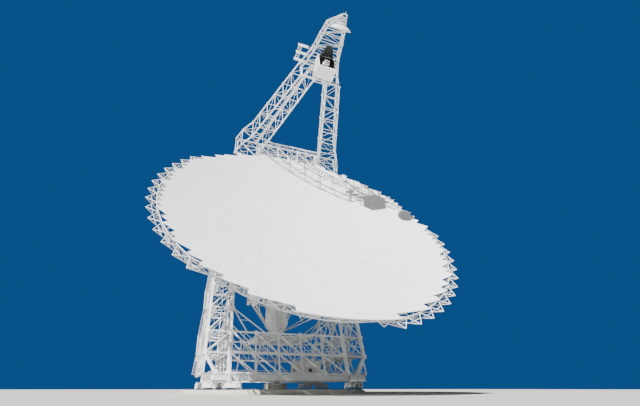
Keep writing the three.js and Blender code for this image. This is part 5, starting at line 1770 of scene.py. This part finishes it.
def makeRocker():
    # two cheeks between two wheel boxes, on their pin
    half, crown = truck["pitch"] / 2 + truck["half"], rocker["crown"]
    foot, shoulder, top = rocker["heights"]
    profile = [(-half, foot), (half, foot), (half, shoulder), (crown, top), (-crown, top), (-half, shoulder)]
    parts = [slab("cheek", [Vector((x, y, z)) for x, z in profile], (0, rocker["cheek"], 0), 0.002)
             for y in rocker["cheeks"]]
    parts.append(block((-half + 0.004, -0.05, foot), (half - 0.004, 0.05, foot + 0.016), 0.001))
    parts += [drum(*rocker[key], "Y", (0, 0, rocker["axle"]), 28) for key in ("pin", "boss")]
    parts += [boxes((x, 0, 0), [rocker["rib"]], 0)[0] for x in rocker["ribs"]]
    return join("rocker", parts)


# Smaller parts of a truck, as the low and high corners of their boxes
fittings = {"cover": ((-0.17, 0.052, 0.18), (0.17, 0.112, 0.292)),
            "lid": ((-0.15, 0.1, 0.2), (0.15, 0.116, 0.272)),
            "tray": ((-0.24, 0.07, 0.318), (0.24, 0.11, 0.368)), "sweeperOut": 0.142,
            "blade": ((-0.006, -0.045, 0.15), (0.006, 0.045, 0.21)),
            "bracket": ((-0.03, -0.012, 0.19), (0.004, 0.012, 0.2)), "ribs": (-0.42, 0.42, 10)}


def makeSweeper():
    return join("sweeper", [block(*fittings["blade"], 0.002), block(*fittings["bracket"], 0)])


def makeTruck():
    # four wheel boxes, covers over the pairs of wheels, two rockers and the beam that they carry
    inner, reach, top = (-1, 1), truck["pitch"] + truck["half"] / 2, truck["topOfBeam"]
    cover = join("cover", [block(*fittings["cover"], 0.006), block(*fittings["lid"])])
    rib = block((-0.005, -0.079, top - 0.026), (0.005, 0.079, top - 0.008), 0)
    parts = [scatter("boxes", makeWheelBox(), [alongTrack(step) for step in steps]),
             scatter("motors", makeMotor(), [alongTrack(step) for step in (steps[0], steps[-1])]),
             scatter("covers", cover, [alongTrack(step) for step in inner]),
             scatter("rockers", makeRocker(), [alongTrack(step) for step in inner]),
             scatter("ribs", rib, [shift(x, 0, 0) for x in spread(*fittings["ribs"])]),
             block(*fittings["tray"], 0.006),
             block((-reach, -0.08, top - 0.034), (reach, 0.08, top - 0.024), 0.001),
             block((-reach, -0.08, top - 0.01), (reach, 0.08, top), 0.001),
             block((-reach + 0.004, -0.065, top - 0.026), (reach - 0.004, 0.065, top - 0.008), 0)]
    for step, turn in ((steps[0], 180), (steps[-1], 0)):
        place = alongTrack(step) @ shift(math.copysign(fittings["sweeperOut"], step), 0, 0)
        parts.append(moved(makeSweeper(), place @ spin(turn, "Z")))
    return join("truck", parts)


truckModel, wheelModel = makeTruck(), makeWheel()
for corner in corners:
    place = atCorner(corner)
    bogie = copyOf(truckModel, place)
    bogie.name = bogie.data.name = "truck_" + corner.replace("_", "") + "Body"
    dress(bogie, "paint", "alidade", ["truck_" + corner])
    for i, step in enumerate(steps):
        label = f"wheel_{corner}_{i + 1}"
        roller = copyOf(wheelModel, place @ alongTrack(step) @ shift(0, 0, truck["height"]))
        roller.name = roller.data.name = label + "_body"
        dress(roller, "steel", label, [label])
for model in (truckModel, wheelModel):
    bpy.data.objects.remove(model)
print("trucks built")

# Equipment room on the base frame
cabin = {"low": (0.42, -1.3, 0.5603), "high": (1.32, -0.46, 1.0203), "seam": 0.045, "coolers": (0.2, 0.52),
         "cooler": (0.2, 0.22, 0.09), "coolerBack": 0.2, "rail": (0.1, 0.15), "wall": 0.01, "rib": 0.01,
         "door": [((0.08, 0.002, 0.03), (0.2, 0.02, 0.26)), ((0.1, 0, 0.17), (0.18, 0.01, 0.24))],
         "handle": (0.185, 0.004, 0.13), "louvre": ((-0.004, 0, 0.02), (0.002, 0.015, 0.075)),
         "vents": [((0.46, -0.004, 0.13), (0.56, 0.012, 0.23)), ((-0.004, 0.34, 0.13), (0.012, 0.44, 0.23))],
         "ventLouvre": ((0.45, -0.012, 0), (0.57, -0.002, 0.01)), "ventLouvres": (0.14, 0.215, 3)}


def makeCabin():
    low, high, wall = Vector(cabin["low"]), Vector(cabin["high"]), cabin["wall"]
    (x0, y0, z0), (x1, y1, z1) = low, high
    xs, ys = (x0 + wall, x1 - wall), (y0 + wall, y1 - wall)
    parts = [block((xs[0], ys[0], z0), (xs[1], ys[1], z1 - 0.012)),
             block((x0, y0, z1 - 0.02), (x1, y1, z1)), block((x0, y0, z0), (x1, y1, z0 + 0.02), 0.003)]
    feet = [(x, y) for x in spread(*xs, round((x1 - x0) / cabin["seam"])) for y in ys]
    feet += [(x, y) for y in spread(*ys, round((y1 - y0) / cabin["seam"])) for x in xs]
    parts.append(beams("seams", [((x, y, z0), (x, y, z1 - 0.01)) for x, y in feet], cabin["rib"]))
    # door with its window and handle
    parts += boxes(low, cabin["door"], 0.002)
    parts.append(drum(0.006, 0.014, "Y", low + Vector(cabin["handle"]), 12, 0))
    # coolers on the roof, each with its fan and louvres
    width, length, height = cabin["cooler"]
    y = y0 + cabin["coolerBack"]
    for x in (x0 + start for start in cabin["coolers"]):
        parts += [block((x, y, z1), (x + width, y + length, z1 + height), 0.008),
                  drum(0.07, 0.02, "Z", (x + width / 2, y + length / 2, z1 + height + 0.005), 32)]
        parts += [boxes((x, near, z1), [cabin["louvre"]], 0)[0] for near in spread(y + 0.02, y + 0.17, 5)]
    inset = 0.02
    edge = [(x0 + inset, y0 + inset, z1), (x1 - inset, y0 + inset, z1), (x1 - inset, y1 - inset, z1),
            (x0 + inset, y1 - inset, z1)]
    parts.append(tubes("rails", railing(edge + edge[:1], *cabin["rail"]), tower["rail"]))
    return join("equipmentCabin", parts)


def makeVents():
    # a vent in the front and one in the left side, the first with louvres; both are black plates of painted
    # shade that stand for dark openings
    low = Vector(cabin["low"])
    parts = boxes(low, cabin["vents"], 0.002)
    parts += [boxes(low + Vector((0, 0, up)), [cabin["ventLouvre"]], 0)[0]
              for up in spread(*cabin["ventLouvres"])]
    return join("cabinVents", parts)


dress(makeCabin(), "cladding", "alidade", ["equipment_room"])
# the vents are black plates of painted shade
dress(makeVents(), "painted_shade_black", "alidade")
print("equipment room built")

# Foundation ring, rail and pintle pier
ground = {"inner": 3.05, "outer": 3.348, "top": 0.12, "pad": 0.065, "track": 3.2, "steps": 160,
          "railHalf": 0.03, "railLow": 0.1203, "railTop": 0.14, "clips": 120, "pier": 0.42, "pierTop": 0.33,
          "pintle": 0.09, "pintleTop": 0.6, "anchors": (24, 0.21, 0.01)}


def makeRing():
    inner, outer, top = ground["inner"], ground["outer"], ground["top"]
    near, far, ledge = ground["track"] - ground["pad"], ground["track"] + ground["pad"], top - 0.01
    profile = [(inner, 0), (outer, 0), (outer, top - 0.03), (outer - 0.02, ledge), (far + 0.005, ledge),
               (far, top), (near, top), (near - 0.005, ledge), (inner + 0.02, ledge), (inner, top - 0.03),
               (inner, 0)]
    return turned("foundationRing", profile, ground["steps"])


def makeRailClips():
    # the clips that hold the rail, with their bolts
    top, count = ground["top"], ground["clips"]
    clip = [block((-0.016, y0, top), (0.016, y1, top + 0.014), 0.002)
            for y0, y1 in ((-0.052, -0.031), (0.031, 0.052))]
    clip += [drum(0.006, 0.012, "Z", (0, y, top + 0.019), 6, 0) for y in (-0.042, 0.042)]
    places = [spin(360 * i / count, "Z") @ shift(0, ground["track"], 0) for i in range(count)]
    return scatter("railClips", join("clip", clip), places)


def makeRail():
    low, top = ground["railLow"], ground["railTop"]
    near, far = ground["track"] - ground["railHalf"], ground["track"] + ground["railHalf"]
    profile = [(near, low), (far, low), (far, top - 0.004), (far - 0.004, top), (near + 0.004, top),
               (near, top - 0.004), (near, low)]
    return turned("trackRail", profile, ground["steps"])


def makePier():
    r, top = ground["pier"], ground["pierTop"]
    profile = [(0, 0), (r, 0), (r, top - 0.03), (r - 0.03, top), (0.2, top), (0, top)]
    return turned("pintlePier", profile, 48)


def makePintle():
    top, pin, high = ground["pierTop"], ground["pintle"], ground["pintleTop"]
    profile = [(0, top), (0.24, top), (0.24, top + 0.016), (0.12, top + 0.02), (pin, top + 0.036),
               (pin, high - 0.01), (pin - 0.01, high), (0, high)]
    return join("pintle", [turned("pintle", profile, 64),
                           bolts("anchors", *ground["anchors"], "Z", (0, 0, top + 0.022), 0.014)])


dress(makeRing(), "concrete", "foundation", ["foundation_ring"])
dress(makeRail(), "steel", "foundation", ["track_rail"])
dress(makeRailClips(), "steel", "foundation")
dress(makePier(), "concrete", "foundation", ["pintle_pier"])
dress(makePintle(), "steel", "foundation")
print("foundation built")

# Floor, sky and light
studio = {"floor": (0.48, 0.48, 0.46), "backdrop": (0.008, 0.075, 0.25), "fill": (0.62, 0.80, 1.0),
          "fillStrength": 0.1, "key": 12.0, "keySoftness": 0.6, "keyFrom": (-0.572, -0.458, 0.681),
          "keyAway": 20, "size": 160, "roughness": 0.9}


def makeStage():
    bpy.ops.mesh.primitive_plane_add(size=studio["size"], location=(0, 0, -0.001))
    floor = bpy.context.active_object
    floor.name = "studioFloor"
    material = bpy.data.materials.new("floor")
    material.use_nodes = True
    shader = material.node_tree.nodes["Principled BSDF"]
    shader.inputs["Base Color"].default_value = (*studio["floor"], 1)
    shader.inputs["Roughness"].default_value = studio["roughness"]
    floor.data.materials.append(material)


def makeLight():
    direction = Vector(studio["keyFrom"])
    bpy.ops.object.light_add(type="SUN", location=direction * studio["keyAway"])
    lamp = bpy.context.active_object
    lamp.rotation_euler = direction.to_track_quat("Z", "Y").to_euler()
    lamp.data.energy = studio["key"]
    lamp.data.angle = math.radians(studio["keySoftness"])
    world = bpy.data.worlds.new("sky")
    bpy.context.scene.world = world
    world.use_nodes = True
    tree = world.node_tree
    tree.nodes.clear()
    link = tree.links.new
    out = node(tree, "ShaderNodeOutputWorld")
    mix = node(tree, "ShaderNodeMixShader")
    path = node(tree, "ShaderNodeLightPath")
    fill = node(tree, "ShaderNodeBackground")
    fill.inputs["Color"].default_value = (*studio["fill"], 1)
    fill.inputs["Strength"].default_value = studio["fillStrength"]
    seen = node(tree, "ShaderNodeBackground")
    seen.inputs["Color"].default_value = (*studio["backdrop"], 1)
    link(path.outputs["Is Camera Ray"], mix.inputs["Fac"])
    link(fill.outputs[0], mix.inputs[1])
    link(seen.outputs[0], mix.inputs[2])
    link(mix.outputs[0], out.inputs["Surface"])


makeStage()
makeLight()
print("stage set")
